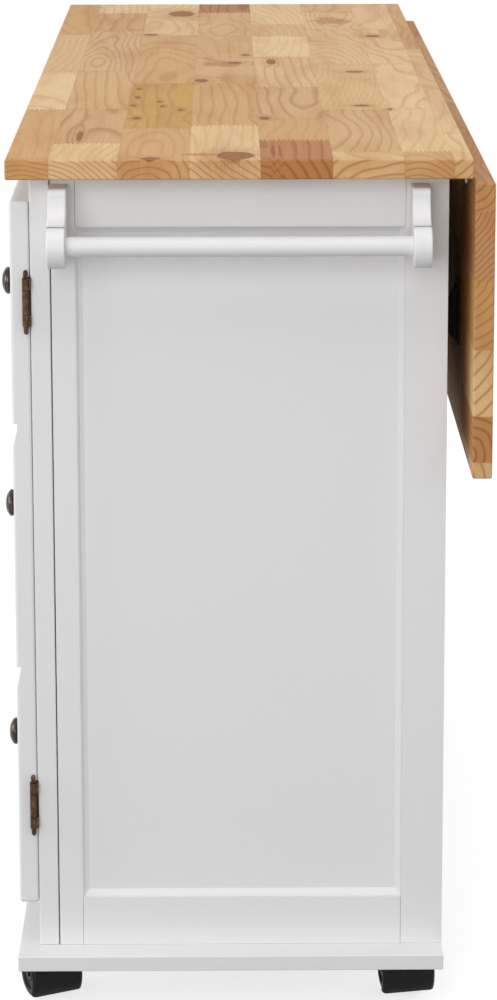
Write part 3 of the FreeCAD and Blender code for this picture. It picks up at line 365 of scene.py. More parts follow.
# ---------------------------------------------------------------- finishes
class Finish:
    """A material or a world, built a node at a time."""

    def __init__(self, name, kind="materials"):
        self.material = getattr(bpy.data, kind).new(name)
        self.material.use_nodes = True
        self.tree = self.material.node_tree
        self.tree.nodes.clear()
        self.place = self.add("TexCoord").outputs["Object"]

    def add(self, kind, inputs=(), **settings):
        node = self.tree.nodes.new("ShaderNode" + kind)
        for key, value in settings.items():
            setattr(node, key, value)
        for key, value in dict(inputs).items():
            if isinstance(value, bpy.types.NodeSocket):
                self.tree.links.new(value, node.inputs[key])
            else:
                node.inputs[key].default_value = value
        return node

    def sum(self, operation, *values):
        return self.add("Math", enumerate(values), operation=operation).outputs[0]

    def split(self, vector):
        return self.add("SeparateXYZ", {0: vector}).outputs

    def join(self, x, y, z):
        return self.add("CombineXYZ", {0: x, 1: y, 2: z}).outputs[0]

    def stretch(self, vector, scale):
        return self.add("VectorMath", {0: vector, 1: scale}, operation="MULTIPLY").outputs[0]

    def noise(self, vector, scale, detail=3.0, roughness=0.55):
        return self.add("TexNoise", {"Vector": vector, "Scale": scale, "Detail": detail,
                                     "Roughness": roughness}).outputs["Fac"]

    def oval(self, vector, place_x, place_y, half_x, half_y, depth):
        """The distance from a place on the face, in multiples of an oval's own half sizes."""
        offset = self.add("VectorMath", {0: vector, 1: (place_x * MM, place_y * MM, 0)}, operation="SUBTRACT")
        offset = self.stretch(offset.outputs[0], (1 / (half_x * MM), 1 / (half_y * MM), 1 / depth))
        return self.add("VectorMath", {0: offset}, operation="LENGTH").outputs["Value"]

    def seen(self):
        """One for rays of the camera, of reflections and of glass, and nought for light."""
        path = self.add("LightPath").outputs
        glossy = self.sum("MAXIMUM", path["Is Camera Ray"], path["Is Glossy Ray"])
        return self.sum("MAXIMUM", glossy, path["Is Transmission Ray"])

    def chance(self, vector):
        """Three random values, the same all over one cell of whole numbers."""
        colour = self.add("TexWhiteNoise", {"Vector": vector}, noise_dimensions="3D").outputs["Color"]
        return self.add("SeparateColor", {0: colour}).outputs

    def range(self, value, low, high, to_low=0.0, to_high=1.0, smooth=True):
        node = self.add("MapRange", {"Value": value, "From Min": low, "From Max": high,
                                     "To Min": to_low, "To Max": to_high})
        node.interpolation_type = "SMOOTHSTEP" if smooth else "LINEAR"
        return node.outputs[0]

    def mix(self, factor, first, second, blend="MIX"):
        node = self.add("Mix", {0: factor, 6: first, 7: second}, data_type="RGBA", blend_type=blend)
        return node.outputs[2]

    def lookup(self, place, rows):
        """The row of three values that belongs to a place from 0 to 1, out of evenly spread rows."""
        node = self.add("ValToRGB", {0: place})
        node.color_ramp.interpolation = "CONSTANT"
        stops = node.color_ramp.elements
        while len(stops) < len(rows):
            stops.new(1.0)
        for number, row in enumerate(rows):
            stops[number].position = number / len(rows)
            stops[number].color = (*row, 1)
        return self.add("SeparateColor", {0: node.outputs[0]}).outputs

    def cell(self, value, bounds, low, high):
        """Which cell between the bounds a value lies in, and the cell's two ends."""
        index, start, stop = 0.0, low, high
        for bound in bounds:
            past = self.sum("GREATER_THAN", value, bound)
            index = self.sum("ADD", index, past)
            begun = self.sum("MULTIPLY_ADD", past, FAR, self.sum("SUBTRACT", bound, FAR))
            start = self.sum("MAXIMUM", start, begun)
            stop = self.sum("MINIMUM", stop, self.sum("MULTIPLY_ADD", past, FAR, bound))
        return index, start, stop

    def bump(self, height, distance, strength=1.0):
        return self.add("Bump", {"Height": height, "Distance": distance, "Strength": strength}).outputs[0]

    def finish(self, **inputs):
        names = {key.replace("_", " ").title().replace("Ior", "IOR"): value for key, value in inputs.items()}
        shader = self.add("BsdfPrincipled", names)
        self.add("OutputMaterial", {0: shader.outputs[0]})
        return self.material


def grey(value):
    return (value, value, value, 1)


def block_wood(name, node, layout, upright):
    """Short blocks of pine, finger jointed end to end in lanes that run along the worktop. Every block has its
    own growth rings round its own pith, so its top and its end belong to one solid."""
    wood = bpy.context.scene.island_wood
    art = Finish(name)
    low, high = node_box(node)
    length, middle = high[0] - low[0], (low + high)[1 if upright else 2] / 2
    x, y, z = art.split(art.place)
    along = art.sum("SUBTRACT", x, low[0])
    across = art.sum("SUBTRACT", high[2], z) if upright else art.sum("SUBTRACT", y, low[1])
    through = art.sum("SUBTRACT", y if upright else z, middle)
    half_thick = (high[1] if upright else high[2]) - middle
    flat = art.join(along, across, art.sum("SUBTRACT", through, half_thick))

    # which block: the lane, and then the place along it, with the joints cut as teeth
    lanes = [bound * MM for bound in layout["lanes"]]
    lane, lane_low, lane_high = art.cell(across, lanes, 0.0, high[2] - low[2] if upright else high[1] - low[1])
    rows = np.full((len(layout["joints"]), MOST_JOINTS), FAR)
    for number, joints in enumerate(layout["joints"]):
        rows[number, :len(joints)] = np.array(joints) * MM
    lane_place = art.sum("DIVIDE", art.sum("ADD", lane, 0.5), len(rows))
    bounds = [*art.lookup(lane_place, rows[:, :3]), *art.lookup(lane_place, rows[:, 3:])]
    tooth = art.sum("SUBTRACT", art.sum("PINGPONG", art.sum("DIVIDE", across, wood.finger_pitch / 2), 1.0), 0.5)
    toothed = art.sum("MULTIPLY_ADD", tooth, wood.finger_length, along)
    block, block_low, block_high = art.cell(toothed, bounds, -0.1, length + 0.1)
    in_lane = art.sum("SUBTRACT", across, art.sum("MULTIPLY", art.sum("ADD", lane_low, lane_high), 0.5))
    in_block = art.sum("SUBTRACT", along, art.sum("MULTIPLY", art.sum("ADD", block_low, block_high), 0.5))
    luck = art.chance(art.join(lane, block, 5.0))
    more = art.chance(art.join(lane, block, 11.0))
    number = art.sum("MULTIPLY_ADD", lane, 10.0, block)
    redness = art.sum("MULTIPLY", luck[2], 0.16)
    for place, count, amount in layout["reds"]:
        same = art.sum("COMPARE", number, 10 * place + count, 0.5)
        redness = art.sum("MAXIMUM", redness, art.sum("MULTIPLY", same, amount))
    amber = art.sum("COMPARE", number, 10 * layout["amber"][0] + layout["amber"][1], 0.5)

    # knots: ovals whose rims wander a little; the nearest one counts, in multiples of its own size
    wobble = art.noise(art.stretch(flat, (28.0, 60.0, 60.0)), 1.0, 2.5)
    fine = art.noise(art.stretch(flat, (90.0, 420.0, 0.0)), 1.0, 3.0, 0.65)
    away = FAR
    for knot in layout["knots"]:
        away = art.sum("MINIMUM", away, art.oval(flat, *knot, wood.knot_depth))
    away = art.sum("MULTIPLY_ADD", art.sum("SUBTRACT", wobble, 0.5), 0.45, away)
    core = art.range(away, 0.82, 1.06, 1.0, 0.0)
    halo = art.range(away, 0.9, 2.9, 1.0, 0.0)

    # flames: soft red patches, torn along the grain
    flame = 0.0
    torn = art.noise(art.stretch(flat, (26.0, 60.0, 60.0)), 1.0, 3.0, 0.6)
    for patch in layout["flames"]:
        reach = art.oval(flat, *patch, wood.knot_depth)
        reach = art.sum("MULTIPLY_ADD", art.sum("SUBTRACT", torn, 0.5), 1.8, reach)
        flame = art.sum("MAXIMUM", flame, art.range(reach, 0.55, 1.1, 0.62, 0.0))

    # growth rings round a pith below or above the block, which leans along it and bends round the knots
    sway = art.noise(art.stretch(art.place, (3.2, 9.0, 9.0)), 1.0, 1.2, 0.4)
    bend = art.noise(art.stretch(art.place, (9.0, 26.0, 26.0)), 1.0, 1.0, 0.4)
    lean = art.sum("MULTIPLY", art.sum("SUBTRACT", more[0], 0.5), 0.22)
    drift = art.sum("MULTIPLY_ADD", art.sum("SUBTRACT", sway, 0.5), 0.060, art.sum("MULTIPLY", in_block, lean))
    drift = art.sum("MULTIPLY_ADD", art.sum("SUBTRACT", bend, 0.5), 0.012, drift)
    pith_y = art.sum("MULTIPLY", art.sum("SUBTRACT", luck[1], 0.5), 0.16)
    pith_z = art.sum("MULTIPLY_ADD", more[2], -0.075, -0.014)
    side_y = art.sum("SUBTRACT", in_lane, pith_y)
    side_z = art.sum("ADD", art.sum("SUBTRACT", through, pith_z), drift)
    squares = art.sum("ADD", art.sum("MULTIPLY", side_y, side_y), art.sum("MULTIPLY", side_z, side_z))
    ring = art.sum("SQRT", squares)
    ring = art.sum("MULTIPLY_ADD", halo, 0.010, ring)
    width = art.range(more[1], 0.0, 1.0, wood.ring_spacing * 0.65, wood.ring_spacing * 1.35, smooth=False)
    phase = art.sum("FRACT", art.sum("DIVIDE", ring, width))
    late = art.sum("MULTIPLY", art.range(phase, 0.50, 0.88), art.range(phase, 0.90, 1.0, 1.0, 0.0))
    line = art.sum("MULTIPLY", art.range(phase, 0.62, 0.80), art.range(phase, 0.86, 0.97, 1.0, 0.0))

    # fibres: long thin streaks
    streaks = art.noise(art.stretch(art.place, (9.0, 520.0, 520.0)), 1.0, 4.0, 0.7)
    clouds = art.noise(art.stretch(art.place, (5.0, 22.0, 22.0)), 1.0, 3.0)
    facing = art.add("SeparateXYZ", {0: art.add("TexCoord").outputs["Normal"]}).outputs[0]
    end = art.range(art.sum("ABSOLUTE", facing), 0.5, 0.9)

    # colour
    pale, tan, red, dark = (tuple(colour) for colour in (wood.pale, wood.tan, wood.red, wood.knot))
    tone = art.mix(art.range(luck[0], 0.25, 1.0, smooth=False), pale, tan)
    tone = art.mix(amber, tone, tuple(wood.amber))
    tone = art.mix(redness, tone, red)
    tone = art.mix(art.range(clouds, 0.42, 0.74, 0.0, 0.34), tone, red)
    tone = art.mix(flame, tone, red)
    deep = art.mix(0.70, tone, art.mix(redness, red, dark))
    grain = art.range(luck[1], 0.0, 1.0, 0.16, 0.50, smooth=False)
    grain = art.sum("MULTIPLY_ADD", redness, 0.30, grain)
    tone = art.mix(art.sum("MULTIPLY", late, grain), tone, deep)
    bold = art.sum("MULTIPLY_ADD", end, 0.85, art.sum("MULTIPLY", redness, 0.60))
    tone = art.mix(art.sum("MINIMUM", art.sum("MULTIPLY", line, bold), 0.85), tone, deep)
    tone = art.mix(art.sum("MULTIPLY", end, 0.16), tone, red)
    tone = art.mix(art.sum("MULTIPLY", halo, art.range(fine, 0.35, 0.7, 0.12, 0.55)), tone, red)
    heart = art.mix(art.range(fine, 0.30, 0.70, 0.35, 1.0), red, dark)
    rim = art.range(art.sum("ABSOLUTE", art.sum("SUBTRACT", away, 0.9)), 0.0, 0.2, 0.55, 0.0)
    heart = art.mix(rim, heart, art.mix(0.5, dark, grey(0.01)))
    tone = art.mix(art.sum("MULTIPLY", core, 0.92), tone, heart)
    tone = art.mix(art.range(streaks, 0.35, 0.75, 0.0, 0.16), tone, deep)

    # joints: a dark line along some teeth and a faint one between the lanes
    behind, before = art.sum("SUBTRACT", toothed, block_low), art.sum("SUBTRACT", block_high, toothed)
    nearest = art.sum("MINIMUM", behind, before)
    mark = art.range(art.noise(art.stretch(flat, (8.0, 30.0, 0.0)), 1.0, 1.0), 0.44, 0.62, 0.06, 0.50)
    tooth_line = art.sum("MULTIPLY", art.range(nearest, 0.0004, 0.0030, 1.0, 0.0), mark)
    beside = art.sum("MINIMUM", art.sum("SUBTRACT", across, lane_low), art.sum("SUBTRACT", lane_high, across))
    lane_line = art.range(beside, 0.0001, 0.0006, 0.14, 0.0)
    glue = art.sum("MAXIMUM", tooth_line, lane_line)
    tone = art.mix(glue, tone, dark)

    relief = art.sum("MULTIPLY_ADD", late, 0.4, art.sum("MULTIPLY", streaks, 0.5))
    relief = art.sum("MULTIPLY_ADD", glue, -1.0, relief)
    rough = art.range(streaks, 0.3, 0.7, 0.42, 0.52, smooth=False)
    return art.finish(base_color=tone, roughness=rough, specular_ior_level=0.03,
                      normal=art.bump(relief, 0.0001, 0.5))


def satin_paint():
    """Sprayed white paint: a faint orange peel, slight cloudiness and no grain."""
    paint = bpy.context.scene.island_paint
    art = Finish("satin white paint")
    peel = art.noise(art.place, 420.0, 2.0)
    clouds = art.noise(art.place, 2.2, 2.0)
    colour = art.mix(art.range(clouds, 0.3, 0.7, 0.0, 0.5), tuple(paint.colour),
                     tuple(0.965 * value for value in paint.colour[:3]) + (1,))
    rough = art.range(peel, 0.3, 0.7, 0.36, 0.46, smooth=False)
    return art.finish(base_color=colour, roughness=rough, specular_ior_level=0.35,
                      normal=art.bump(peel, 0.00005, 0.5))


def plain_pine():
    """Clear pine for the drawers: straight streaks along the board and faint rings."""
    art = Finish("plain pine")
    streaks = art.noise(art.stretch(art.place, (40.0, 3.0, 300.0)), 1.0, 4.0, 0.7)
    broad = art.noise(art.stretch(art.place, (6.0, 0.8, 30.0)), 1.0, 2.0)
    rings = art.sum("FRACT", art.sum("MULTIPLY", broad, 9.0))
    late = art.sum("MULTIPLY", art.range(rings, 0.4, 0.9), art.range(rings, 0.94, 1.0, 1.0, 0.0))
    tone = art.mix(art.sum("MULTIPLY", late, 0.5), (0.72, 0.53, 0.32, 1), (0.55, 0.33, 0.15, 1))
    tone = art.mix(art.range(streaks, 0.35, 0.7, 0.0, 0.3), tone, (0.50, 0.30, 0.14, 1))
    return art.finish(base_color=tone, roughness=0.55, normal=art.bump(streaks, 0.0001, 0.5))


def old_metal(name, colour, worn, roughness):
    """Darkened metal with paler worn patches and fine scratches."""
    art = Finish(name)
    patches = art.noise(art.place, 160.0, 4.0, 0.65)
    fine = art.noise(art.place, 1500.0, 2.0)
    tone = art.mix(art.range(patches, 0.45, 0.72), tuple(colour), worn)
    rough = art.range(patches, 0.3, 0.7, roughness * 1.25, roughness * 0.8, smooth=False)
    return art.finish(base_color=tone, metallic=0.9, roughness=rough, normal=art.bump(fine, 0.00003, 0.4))


def moulded_black(name, roughness, grain):
    """Black plastic or powder coat with a fine moulded grain."""
    hardware = bpy.context.scene.island_hardware
    art = Finish(name)
    pebble = art.noise(art.place, grain, 2.0)
    tone = art.mix(art.range(pebble, 0.4, 0.7), tuple(hardware.black), grey(0.008))
    rough = art.range(pebble, 0.3, 0.7, roughness * 0.85, roughness * 1.15, smooth=False)
    return art.finish(base_color=tone, roughness=rough, specular_ior_level=0.16,
                      normal=art.bump(pebble, 0.00006, 0.4))


FINISHES = {}


def finish_of(name):
    """Each finish is made once, when a piece first asks for it."""
    hardware = bpy.context.scene.island_hardware
    makers = {
        "paint": satin_paint,
        "pine": plain_pine,
        "bronze": lambda: old_metal("antique bronze", hardware.bronze, (0.15, 0.086, 0.050, 1), 0.36),
        "nickel": lambda: old_metal("antique nickel", hardware.nickel, (0.12, 0.10, 0.09, 1), 0.13),
        "zinc": lambda: old_metal("zinc plate", hardware.zinc, (0.66, 0.67, 0.68, 1), 0.36),
        "steel": lambda: moulded_black("black steel", 0.42, 900.0),
        "plastic": lambda: moulded_black("black plastic", 0.38, 500.0),
    }
    if name not in FINISHES:
        FINISHES[name] = makers[name]()
    return FINISHES[name]


# ------------------------------------------------------------------ pieces
class ISLAND_OT_worktop(Operator):
    """Lay the block worktop and the drop leaf"""

    bl_idname = "island.worktop"
    bl_label = "Worktop and leaf"

    def execute(self, context):
        wood = context.scene.island_wood
        for node, layout, upright in (("tabletop", WORKTOP, False), ("drop_leaf", LEAF, True)):
            finish = block_wood(f"{node} blocks", node, layout, upright)
            stand_in(f"{node}_blocks", rounded_box(*node_box(node), wood.ease), finish, node)
        return {"FINISHED"}


class ISLAND_OT_cabinet(Operator):
    """Put up the painted boards of the cabinet"""

    bl_idname = "island.cabinet"
    bl_label = "Cabinet"

    def execute(self, context):
        paint = context.scene.island_paint
        white = finish_of("paint")
        low, high = node_box("base_board")
        stand_in("base_plinth", rounded_box(low, high, paint.base_ease), white, "base_board")
        joint = np.array([0, paint.joint / 2, paint.joint / 2])
        framed = [f"{end}_end_{kind}" for end in ENDS for kind in ("stiles", "rails")]
        for node in framed + ["face_frame_rails", "shelves", "back_panel"]:
            shrink = joint if "end_" in node else 0 * joint
            patches = []
            for low, high in solid_boxes(node):
                patches += rounded_box(low + shrink, high - shrink, paint.ease)
            stand_in(f"{node}_boards", patches, white, node)
        dress(white, "face_frame_stiles", "partitions", "back_rails", "top_cleats", "shelf_cleats",
              "right_end_panel", "left_end_panel")
        for end, side in ENDS.items():
            node = f"{end}_panel_moulding"
            stand_in(f"{end}_bead", moulding(node, side), white, node)
        return {"FINISHED"}


def moulding(node, side):
    """A bevel round the panel: along each side of a rectangle, with mitred ends, its height over the panel
    falls from a narrow lip in two straight lines, a steep one and a shallow one, to a thin foot."""
    low, high = node_box(node)
    panel = low[0] if side > 0 else high[0]
    proud = high[0] - low[0]
    width, lip, foot, knee = 6.5 * MM, 0.6 * MM, 0.25 * MM, 2.2 * MM
    section = np.array([[0, 0], [0, proud], [lip, proud], [knee, 0.4 * proud], [width, foot], [width, 0],
                        [0, 0]])
    corners = np.array([[low[1], low[2]], [high[1], low[2]], [high[1], high[2]], [low[1], high[2]]])
    mitre = np.array([[1, 1], [-1, 1], [-1, -1], [1, -1]])
    inward = np.array([[0, 1], [-1, 0], [0, -1], [1, 0]])
    patches = []
    for start in range(4):
        stop = (start + 1) % 4
        for first in range(len(section) - 1):
            inset, height = section[first:first + 2].T
            ends = [corners[k] + inset[:, None] * mitre[k] for k in (start, stop)]
            points = np.empty((2, 2, 3))
            points[..., 0] = (panel + side * height)[:, None]
            points[..., 1:] = np.stack(ends, 1)
            normals = np.empty_like(points)
            normals[..., 0] = side * (inset[1] - inset[0])
            normals[..., 1:] = -(height[1] - height[0]) * inward[start]
            patches.append(lay_grid(points, unit(normals)))
    return patches


class ISLAND_OT_fronts(Operator):
    """Paint the doors and drawer fronts, and finish the drawers inside"""

    bl_idname = "island.fronts"
    bl_label = "Doors and drawers"

    def execute(self, context):
        dress(finish_of("paint"), "right_door", "left_door", *[f"{level}_drawer_front" for level in LEVELS])
        dress(finish_of("pine"), "drawer_runners", *[f"{level}_drawer_box" for level in LEVELS])
        dress(finish_of("plastic"), "door_catches")
        return {"FINISHED"}


def knob_profile(depth, radius):
    """Foot, neck and head of a turned knob. The neck narrows as a parabola, and the head is half an oval
    below its rim and a flatter half oval above, with a shallow ring cut near the rim."""
    foot, foot_depth, neck = 8.5 * MM, 2.5 * MM, 5.0 * MM
    rim = depth - 7.0 * MM
    under = rim - 3.2 * MM
    quarter = np.linspace(0, np.pi / 2, 10)
    waist = np.linspace(-1, 1, 17)
    foot_arc = np.stack([foot - 1.6 * MM * (1 - np.cos(quarter)), foot_depth * np.sin(quarter)], 1)
    start, stop = foot - 1.6 * MM, 8.0 * MM
    ends = np.where(waist < 0, start, stop)
    climb = foot_depth + (under - foot_depth) * (waist + 1) / 2
    throat = np.stack([neck + (ends - neck) * waist ** 2, climb], 1)
    below = np.stack([stop + (radius - stop) * np.sin(quarter), rim - (rim - under) * np.cos(quarter)], 1)
    rise = np.linspace(0, np.pi / 2, 28)
    dome_radius = radius * np.cos(rise)
    ring = 0.35 * MM * np.exp(-((dome_radius - 11.4 * MM) / (0.7 * MM)) ** 2)
    above = np.stack([dome_radius, rim + (depth - rim) * np.sin(rise) - ring], 1)
    return foot_arc, throat, below, above


class ISLAND_OT_knobs(Operator):
    """Turn the knobs"""

    bl_idname = "island.knobs"
    bl_label = "Knobs"

    def execute(self, context):
        around = context.scene.island_hardware.around
        doors = [f"{end}_door_knobs" for end in ENDS]
        for node in doors + [f"{level}_drawer_knobs" for level in LEVELS]:
            patches = []
            for low, high in solid_boxes(node):
                centre = (low + high) / 2
                centre[1] = high[1]
                profile = knob_profile(high[1] - low[1], (high[2] - low[2]) / 2)
                patches += turned(profile, centre, -Y, X, around)
            stand_in(f"{node}_turned", patches, finish_of("nickel"), node)
        return {"FINISHED"}


class ISLAND_OT_door_hinges(Operator):
    """Finish the door hinges and turn their pins"""

    bl_idname = "island.door_hinges"
    bl_label = "Door hinges"

    def execute(self, context):
        bronze = finish_of("bronze")
        dress(bronze, "door_hinge_frame_leaves", "right_door_hinge_leaves", "left_door_hinge_leaves")
        patches = []
        for low, high in solid_boxes("door_hinge_pins"):
            patches += hinge_pin(low, high, context.scene.island_hardware.around // 2)
        stand_in("hinge_pins_turned", patches, bronze, "door_hinge_pins")
        return {"FINISHED"}


def hinge_pin(low, high, around):
    """A pin along Z with a cap at each end: a rounded ring, a narrow neck, a straight body and a half oval."""
    centre = (low + high) / 2
    half = (high[2] - low[2]) / 2
    radius, shank = (high[0] - low[0]) / 2, 1.5 * MM
    seat, ring, body = half - 8 * MM, 1.5 * MM, 5.0 * MM
    shallow, neck = radius - 0.35 * MM, radius - 0.8 * MM
    quarter = np.linspace(0, np.pi / 2, 8)
    swell = np.linspace(0, np.pi, 9)
    crown = seat + body
    top = seat + ring
    cap = [
        *straights((shank, seat), (shallow, seat)),
        np.stack([shallow + 0.35 * MM * np.sin(swell), seat + ring * (1 - np.cos(swell)) / 2], 1),
        *straights((shallow, top), (neck, top + 0.2 * MM), (neck, top + 0.8 * MM), (shallow, top + 1.0 * MM),
                   (shallow, crown)),
        np.stack([shallow * np.cos(quarter), crown + (half - crown) * np.sin(quarter)], 1),
    ]
    patches = turned(cap, centre, Z, X, around)
    patches += turned(cap, centre, -Z, X, around)
    patches += turned(straights((shank, -seat), (shank, seat)), centre, Z, X, around)
    return patches


class ISLAND_OT_towel_rack(Operator):
    """Shape the towel bar and its two brackets"""

    bl_idname = "island.towel_rack"
    bl_label = "Towel rack"

    def execute(self, context):
        white = finish_of("paint")
        low, high = node_box("towel_bar")
        centre, radius = (low + high) / 2, (high[2] - low[2]) / 2
        half = (high[1] - low[1]) / 2
        bar = straights((0, -half), (radius, -half), (radius, half), (0, half))
        around = context.scene.island_hardware.around
        stand_in("bar_turned", turned(bar, centre, Y, X, around), white, "towel_bar")
        for place in ("front", "rear"):
            node = f"{place}_towel_bracket"
            stand_in(f"{place}_bracket_shaped", towel_bracket(node), white, node)
        return {"FINISHED"}


def towel_bracket(node):
    """A flat arm whose front sweeps out, by a hollow quarter round, into a round nose."""
    low, high = node_box(node)
    wall, tip, foot, top = low[0], high[0], low[2], high[2]
    arm, nose, hollow = 34 * MM, 21.5 * MM, 24 * MM
    outline, normals = round_corners(
        [(wall, foot), (tip, foot), (tip, foot + 2 * nose), (wall + arm, foot + 2 * nose), (wall + arm, top),
         (wall, top)],
        [0.5 * MM, nose, nose, hollow, 6 * MM, 0.5 * MM], steps=12)
    centre = np.array([0, (low[1] + high[1]) / 2, 0])
    return eased_plate(outline, normals, centre, X, Z, high[1] - low[1], 1.6 * MM)


class ISLAND_OT_leaf_hardware(Operator):
    """Finish the leaf's hinges and stays"""

    bl_idname = "island.leaf_hardware"
    bl_label = "Leaf hinges and stays"

    def execute(self, context):
        dress(finish_of("zinc"), "leaf_hinge_top_plates", "leaf_hinge_flaps", "leaf_hinge_pins",
              "caster_plates")
        dress(finish_of("steel"), "right_stay", "left_stay", "stay_brackets", "stay_pins", "stay_receivers")
        return {"FINISHED"}


class ISLAND_OT_casters(Operator):
    """Mould the casters' hoods and wheels"""

    bl_idname = "island.casters"
    bl_label = "Casters"

    def execute(self, context):
        around = context.scene.island_hardware.around
        joints = {joint["name"]: joint for joint in frame["joints"]}
        plastic = finish_of("plastic")
        for caster in CASTERS:
            swivel = joints[f"{caster}_caster_swivel"]
            spin = joints[f"{caster}_wheel_spin"]
            axle = np.array(spin["pos_m"])
            along = np.array(spin["axis"])
            stem = np.array(swivel["pos_m"])
            fender, wheels = caster_hood(axle, stem, around), caster_wheels(axle, along, around)
            stand_in(f"{caster}_fender", fender, plastic, f"{caster}_caster_hood")
            stand_in(f"{caster}_wheels_moulded", wheels, plastic, f"{caster}_caster_wheels")
        return {"FINISHED"}


def section_span(outline, normals, centre, axis, across, span, around):
    """A closed section of (distance along the axis, radius) points, turned over part of a circle, with the
    section itself as the flat face at each end."""
    third = np.cross(axis, across)
    angles = np.linspace(*span, around)
    spoke = np.cos(angles)[:, None] * across + np.sin(angles)[:, None] * third
    points = centre + outline[:, :1, None].transpose(2, 0, 1) * axis + spoke[:, None] * outline[:, 1:]
    tilt = normals[:, :1] * axis + spoke[:, None] * normals[:, 1:]
    patches = [lay_grid(points, tilt, wrap=True)]
    for row, sign in ((0, -1), (-1, 1)):
        heading = sign * np.cross(axis, spoke[row])
        patches.append(flat_patch(points[row], heading))
    return patches


def caster_hood(axle, stem, around):
    """A fender over both wheels: a thin arch of rounded section from low in front to the back, with lips down
    the wheels' outer faces, a web between the wheels, and a neck up to the plate."""
    outer, half, wall, lip, web, cheek = 30 * MM, 28.5 * MM, 3.5 * MM, 23.5 * MM, 5.5 * MM, 2.4 * MM
    low_front, back = math.radians(-33), math.radians(110)
    lead = stem - axle
    lead = unit(np.array([lead[0], lead[1], 0]))
    axis = np.cross(lead, Z)
    inner = outer - wall
    fender = round_corners(
        [(-half, lip), (-half + cheek, lip), (-half + cheek, inner), (half - cheek, inner),
         (half - cheek, lip), (half, lip), (half, outer), (-half, outer)],
        [1.0 * MM, 1.0 * MM, 1.5 * MM, 1.5 * MM, 1.0 * MM, 1.0 * MM, 5.0 * MM, 5.0 * MM])
    core = round_corners(
        [(-web, 4 * MM), (web, 4 * MM), (web, outer - 1 * MM), (-web, outer - 1 * MM)], [0.5 * MM] * 4)
    patches = []
    for outline, normals in (fender, core):
        patches += section_span(outline, normals, axle, axis, lead, (low_front, back), around)
    neck, root, neck_top, round_over = 11 * MM, 45 * MM, 56.5 * MM, 1 * MM
    post, post_top = 5 * MM, 61 * MM
    quarter = np.linspace(0, np.pi / 2, 7)
    collar = [
        *straights((0, root), (neck, root), (neck, neck_top - round_over)),
        np.stack([neck - round_over * (1 - np.cos(quarter)), neck_top - round_over * (1 - np.sin(quarter))], 1),
        *straights((neck - round_over, neck_top), (post, neck_top), (post, post_top), (0, post_top)),
    ]
    patches += turned(collar, np.array([stem[0], stem[1], 0]), Z, X, around // 2)
    return patches


def caster_wheels(axle, along, around):
    """Two wheels on one axle. Each has a rounded tread, a dished outer face with a raised hub, and a flat
    inner face."""
    radius, shoulder, rim = 25 * MM, 5 * MM, 2 * MM
    inner, outer = 5.8 * MM, 22.8 * MM
    dish, dish_floor, hub_foot, hub, bore = 17 * MM, 15.5 * MM, 8 * MM, 7 * MM, 3 * MM
    floor, cap = outer - 2 * MM, outer + 1.5 * MM
    quarter = np.linspace(0, np.pi / 2, 10)
    wheel = [
        *straights((0, inner), (bore, inner), (radius - rim, inner)),
        np.stack([radius - rim * (1 - np.sin(quarter)), inner + rim * (1 - np.cos(quarter))], 1),
        *straights((radius, inner + rim), (radius, outer - shoulder)),
        np.stack([radius - shoulder * (1 - np.cos(quarter)), outer - shoulder * (1 - np.sin(quarter))], 1),
        *straights((radius - shoulder, outer), (dish, outer), (dish_floor, floor), (hub_foot, floor),
                   (hub, outer), (bore, outer), (bore, cap), (0, cap)),
    ]
    return turned(wheel, axle, along, Z, around) + turned(wheel, axle, -along, Z, around)


# ------------------------------------------------------------------- stage
# Each lamp: where it stands, where it points, its width, and which setting its power is a multiple of.
LAMPS = {
    "key_lamp": ((3.8, -1.2, 1.6), (0.35, 0, 0.5), 2.2, "key", 1),
    "overhead_lamp": ((2.4, -0.3, 5.2), (0.2, 0, 0.6), 3.0, "overhead", 1),
    "fill_lamp": ((3.0, 3.0, 1.4), (0.35, 0, 0.5), 2.4, "fill", 1),
    "front_lamp": ((0.6, -4.0, 1.4), (0.3, 0, 0.4), 2.2, "fill", 5),
    "back_lamp": ((-2.6, 3.6, 2.4), (0, 0, 0.5), 2.2, "fill", 3),
}


class ISLAND_OT_stage(Operator):
    """Set the camera, the lamps and the floor"""

    bl_idname = "island.stage"
    bl_label = "Camera, lamps and floor"

    def execute(self, context):
        stage = context.scene.island_stage
        set_camera(context, stage)
        for name, (place, target, width, setting, times) in LAMPS.items():
            set_lamp(context, name, place, target, width, getattr(stage, setting) * times)
        set_world(context, stage)
        lay_floor(context)
        context.scene.view_settings.view_transform = "Standard"
        return {"FINISHED"}


def set_camera(context, stage):
    """Level axes first, then turned by the pan, the tilt and the roll in turn."""
    ahead = Vector((-math.cos(stage.pan), math.sin(stage.pan), 0))
    right = Vector((math.sin(stage.pan), math.cos(stage.pan), 0))
    up = Vector((0, 0, 1))
    view = math.cos(stage.tilt) * ahead - math.sin(stage.tilt) * up
    top = math.cos(stage.tilt) * up + math.sin(stage.tilt) * ahead
    level = math.cos(stage.roll) * right + math.sin(stage.roll) * top
    rise = math.cos(stage.roll) * top - math.sin(stage.roll) * right
    data = bpy.data.cameras.new("camera")
    data.lens = stage.lens
    data.sensor_width = 36
    data.shift_x = -0.0015
    data.shift_y = -0.25
    data.clip_end = 60
    camera = bpy.data.objects.new("camera", data)
    turn = Matrix((level, rise, -view)).transposed().to_4x4()
    camera.matrix_world = Matrix.Translation((stage.camera_x, stage.camera_y, stage.camera_z)) @ turn
    context.scene.collection.objects.link(camera)
    context.scene.camera = camera


def set_lamp(context, name, place, target, width, power):
    data = bpy.data.lights.new(name, "AREA")
    data.size = width
    data.energy = power
    lamp = bpy.data.objects.new(name, data)
    lamp.location = place
    lamp.rotation_euler = (Vector(target) - Vector(place)).to_track_quat("-Z", "Y").to_euler()
    context.scene.collection.objects.link(lamp)


